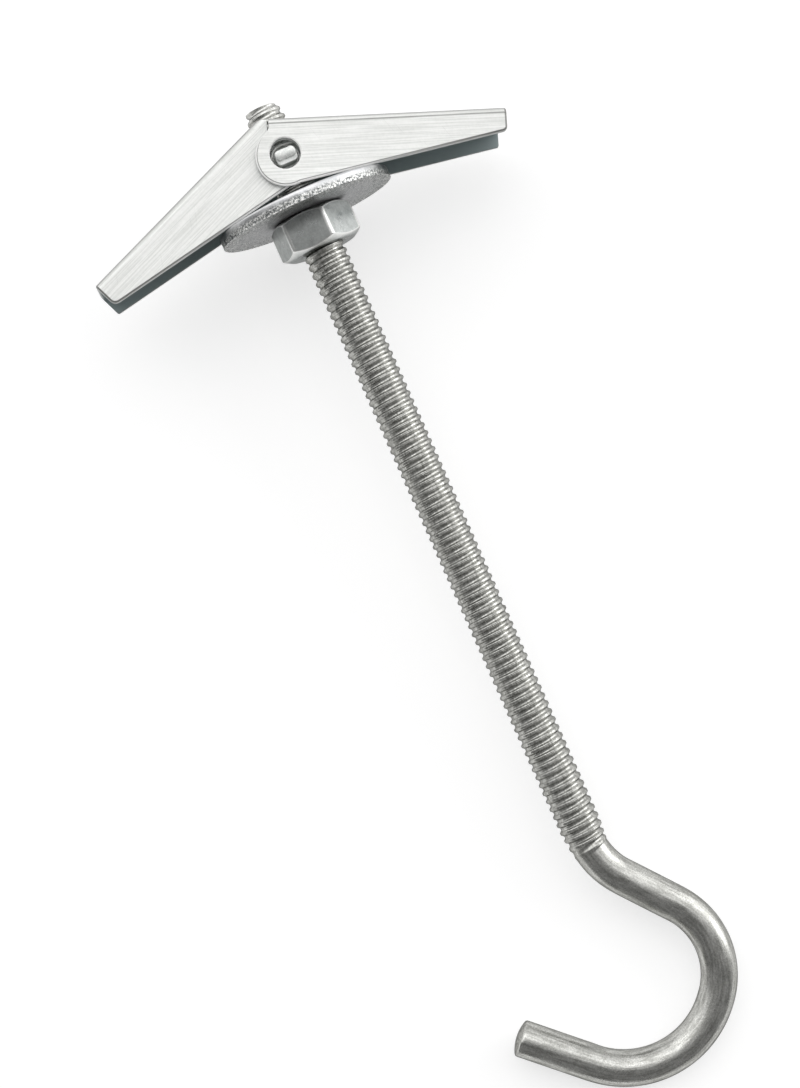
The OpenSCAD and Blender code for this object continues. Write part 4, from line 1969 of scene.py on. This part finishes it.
    def skin_patch(self, blank: np.ndarray, depth: int) -> Patch:
        """The points of one skin that lie off the rim.

        Args:
            blank: the points (v, y).
            depth: 0 for the outer skin, 1 for the inner.

        Returns:
            The skin's points.
        """
        stock = np.column_stack([blank, np.full(len(blank), float(depth))])
        points, normals, _ = self.folded(blank, stock[:, 2])
        clean = np.zeros(len(blank))
        return Patch(points, (1 - 2 * depth) * normals, stock, clean, clean)

    @staticmethod
    def sheet_faces(faces: np.ndarray, edges: np.ndarray, rim: np.ndarray, rows: int) -> list[list[int]]:
        """The faces of both skins and of the rim between them.

        The points are taken to lie in order: the rim's rows, the outer skin's, the inner skin's.

        Args:
            faces: the blank's triangles.
            edges: the edges of the rim.
            rim: the indices of its points.
            rows: how many rows it has.

        Returns:
            The faces, all of them turned one way.
        """
        inside = np.setdiff1d(np.arange(faces.max() + 1), rim)
        count, last = len(rim), rows - 1
        top, bottom = (np.zeros(count + len(inside), int) for _ in range(2))
        top[rim], bottom[rim] = np.arange(count), last * count + np.arange(count)
        top[inside] = rows * count + np.arange(len(inside))
        bottom[inside] = top[inside] + len(inside)
        start, end = top[edges[:, 0]], top[edges[:, 1]]
        ring = np.stack([end, start, start + count, end + count], axis=-1)
        rings = np.concatenate([ring + k * count for k in range(last)])
        return top[faces].tolist() + bottom[faces][:, ::-1].tolist() + rings.tolist()

    def surface(self) -> Surface:
        """The wing: two skins of the blank's triangles, and a rim rolled over on the outer side.

        The folds are painted with shade on the outer half of the sheet, and the inside, painted with
        shade, begins halfway through it.

        Returns:
            The closed surface, with its exact normals and the marks worn, inside and sheared.
        """
        blank, faces = self.blank()
        edges, rim, inset = self.insets(blank, faces)
        zones = self.zones(blank[rim])
        rows = self.rim_rows(zones.roll)
        off_rim = np.delete(blank, rim, axis=0)
        patches = [self.rim_patch(row, blank[rim], inset, zones) for row in rows]
        patches += [self.skin_patch(off_rim, depth) for depth in (0, 1)]
        stock = np.concatenate([patch.stock for patch in patches])
        fold = (np.abs(stock[:, 0]) - self.flat_v) / self.fold_zone
        fold_shade = np.interp(fold, *zip(*self.bend_wear)) * (stock[:, 2] < 0.5)
        # Painted shade on the rim, the folds and the channel's inside, and the painted highlight on the
        # cut face.
        marks = {
            "worn": np.maximum(np.concatenate([patch.worn for patch in patches]), fold_shade),
            # inside: painted shade over the inner skin of the channel
            "inside": np.clip(2 * stock[:, 2] - 1, 0, 1),
            "sheared": np.concatenate([patch.sheared for patch in patches]),
        }
        points = self.set_open(np.concatenate([patch.points for patch in patches]))
        normals = self.set_open(np.concatenate([patch.normals for patch in patches]))
        return Surface(points, self.sheet_faces(faces, edges, rim, len(rows)), stock, marks, normals)

    def set_open(self, vectors: np.ndarray) -> np.ndarray:
        """Turns the local wing to where it stands open on its side of the rod."""
        return turn_about_z(vectors, -self.slope) * np.array([1, self.side, 1])

    def build(self, lay: Lay) -> None:
        """Makes the wing and dresses it."""
        piece = put_mesh(self.name, self.surface(), lay, rolled=True)
        dress(piece, self.body, Slot.SHEET, SHEET_PLATE, self.node)


# ---- Studio ----


@dataclass(frozen=True)
class Lamp:
    """A square soft lamp that looks at the bolt.

    Attributes:
        name: the lamp's name.
        place: its place right, up and out of the view, in metres.
        size: its side in metres.
        watts: its power.
    """

    name: str
    place: tuple[float, float, float]
    size: float
    watts: float

    def build(self, lay: Lay, aim: np.ndarray) -> None:
        """Hangs the lamp.

        Args:
            lay: where the bolt lies.
            aim: what the lamp looks at, in the row frame.
        """
        light = bpy.data.lights.new(self.name, "AREA")
        light.size = self.size
        light.energy = self.watts
        lamp = added(self.name, light)
        lamp.location = Vector(aim + Camera.axes(lay) @ np.array(self.place))
        lamp.rotation_mode = "QUATERNION"
        lamp.rotation_quaternion = (lamp.location - Vector(aim)).to_track_quat("Z", "Y")


@dataclass(frozen=True)
class Camera:
    """The camera, which looks square down on the bolt's own plane.

    Attributes:
        place: its place in the bolt's frame.
        right: the view's right in the bolt's plane; up is square to it.
        focal_px: distance of the picture plane, in pixels.
        height_px: height of the picture in pixels.
        sensor: the longer side of its sensor.
        clip: the nearest and the farthest that it sees, in metres.
    """

    place: tuple[float, float, float] = (57.78, -7.28, 328.0)
    right: tuple[float, float] = (0.4066, 0.9136)
    focal_px: float = 2246.8
    height_px: int = 1088
    sensor: float = 36.0
    clip: tuple[float, float] = (0.01, 20.0)

    @staticmethod
    def axes(lay: Lay) -> np.ndarray:
        """Right, up and back of the view, as columns in the row frame."""
        x, y = Camera.right
        return lay.directions(np.array([[x, y, 0], [-y, x, 0], [0, 0, 1.0]])).T

    def build(self, lay: Lay) -> None:
        """Sets the camera up and makes it the scene's.

        Args:
            lay: where the bolt lies.
        """
        data = bpy.data.cameras.new("view")
        data.sensor_width = self.sensor
        data.lens = self.sensor * self.focal_px / self.height_px
        data.clip_start, data.clip_end = self.clip
        camera = added("view", data)
        turned_to = Matrix(self.axes(lay).tolist()).to_4x4()
        turned_to.translation = Vector(lay.points(np.array([self.place]))[0])
        camera.matrix_world = turned_to
        bpy.context.scene.camera = camera


@dataclass(frozen=True)
class Studio:
    """Pale floor, soft lamps, and walls that are bright on one side and dark on the other.

    Attributes:
        aim: what the lamps look at, in the bolt's frame.
        floor_half: half the floor's side in metres.
        floor_colour: colour of the floor's paper.
        floor_rough: its roughness.
        floor_sheen: its sheen.
        floor_lift: what is added to the floor for the rays that see it.
        dark_wall: light of the dark walls.
        edge_step: sines of the angle towards the view's upper side between which the walls' light
            grows from that of the dark ones, and what it grows to.
        foot_step: sines between which the bright wall grows dimmer again, and what that adds to its
            light.
        lamps: the lamps.
    """

    aim: tuple[float, float, float] = (55.0, 0.0, 0.0)
    floor_half: float = 40.0
    floor_colour: Colour = (0.52, 0.52, 0.52)
    floor_rough: float = 0.9
    floor_sheen: float = 0.1
    floor_lift: float = 0.60
    dark_wall: float = 0.25
    edge_step: tuple[float, float, float] = (-0.12, 0.40, 1.52)
    foot_step: tuple[float, float, float] = (0.45, 1.00, -0.66)
    lamps: tuple[Lamp, ...] = (
        Lamp("key_lamp", (-0.25, 0.70, 0.75), 1.0, 1.3),
        Lamp("side_lamp", (0.95, 0.42, 0.27), 0.8, 3.2),
    )

    def floor_paper(self) -> bpy.types.Material:
        """The floor's material: pale, lit by the lamps, and lifted to white for the rays that see it.

        Returns:
            The material, which glows for camera, glossy and transmission rays only.
        """
        material = bpy.data.materials.new("floor_paper")
        tree = NodeTree(material)
        paper = tree.nodes["Principled BSDF"]
        tree.feed(paper, {"Base Color": (*self.floor_colour, 1), "Roughness": self.floor_rough})
        tree.feed(paper, {"Specular IOR Level": self.floor_sheen})
        path = tree.add("ShaderNodeLightPath", {}).outputs
        seen = tree.math("MAXIMUM", path["Is Camera Ray"], path["Is Glossy Ray"])
        seen = tree.math("MAXIMUM", seen, path["Is Transmission Ray"])
        lift = tree.math("MULTIPLY", seen, self.floor_lift)
        glow = tree.add("ShaderNodeEmission", {"Strength": lift})
        both = tree.add("ShaderNodeAddShader", {0: paper.outputs[0], 1: glow.outputs[0]})
        tree.feed(tree.nodes["Material Output"], {"Surface": both.outputs[0]})
        return material

    def floor(self) -> None:
        """Lays the floor."""
        h = self.floor_half
        mesh = bpy.data.meshes.new("floor")
        mesh.from_pydata([(-h, -h, 0), (h, -h, 0), (h, h, 0), (-h, h, 0)], [], [(0, 1, 2, 3)])
        mesh.materials.append(self.floor_paper())
        floor = added("floor", mesh)

    def world(self, lay: Lay) -> None:
        """Lights the walls round the studio.

        Their light grows with the sine of the angle towards the upper side of the view: dark walls below,
        a soft edge overhead, and a bright wall above that grows dimmer towards its foot.

        Args:
            lay: where the bolt lies.
        """
        world = bpy.data.worlds.new("studio")
        bpy.context.scene.world = world
        tree = NodeTree(world)
        way = tree.add("ShaderNodeTexCoord", {}).outputs["Generated"]
        towards = tree.nodes.new("ShaderNodeVectorMath")
        towards.operation = "DOT_PRODUCT"
        tree.feed(towards, {0: way, 1: Camera.axes(lay)[:, 1]})
        sine = towards.outputs["Value"]
        edge = tree.spread(sine, self.edge_step[:2], (self.dark_wall, self.edge_step[2]))
        foot = tree.spread(sine, self.foot_step[:2], (0.0, self.foot_step[2]))
        light = {"Color": (1, 1, 1, 1), "Strength": tree.math("ADD", edge, foot)}
        tree.feed(tree.nodes["Background"], light)

    def build(self, lay: Lay) -> None:
        """Builds the studio round the bolt.

        Args:
            lay: where the bolt lies.
        """
        self.floor()
        self.world(lay)
        for lamp in self.lamps:
            lamp.build(lay, lay.points(np.array([self.aim]))[0])
        bpy.context.scene.view_settings.view_transform = "Standard"


def main() -> None:
    """Builds the bolt's pieces, the camera and the studio."""
    logging.basicConfig(level=logging.INFO, format="%(name)s %(message)s")
    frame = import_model()
    lay = Lay.of(frame["joints"], roll=TOGGLE_ROLL)
    for piece in (Rod(), Nut(), Washer(), TrunnionNut(), Spring(), Wing.outer(), Wing.inner()):
        piece.build(lay)
    Camera().build(lay)
    Studio().build(lay)


if __name__ == "__main__":
    main()
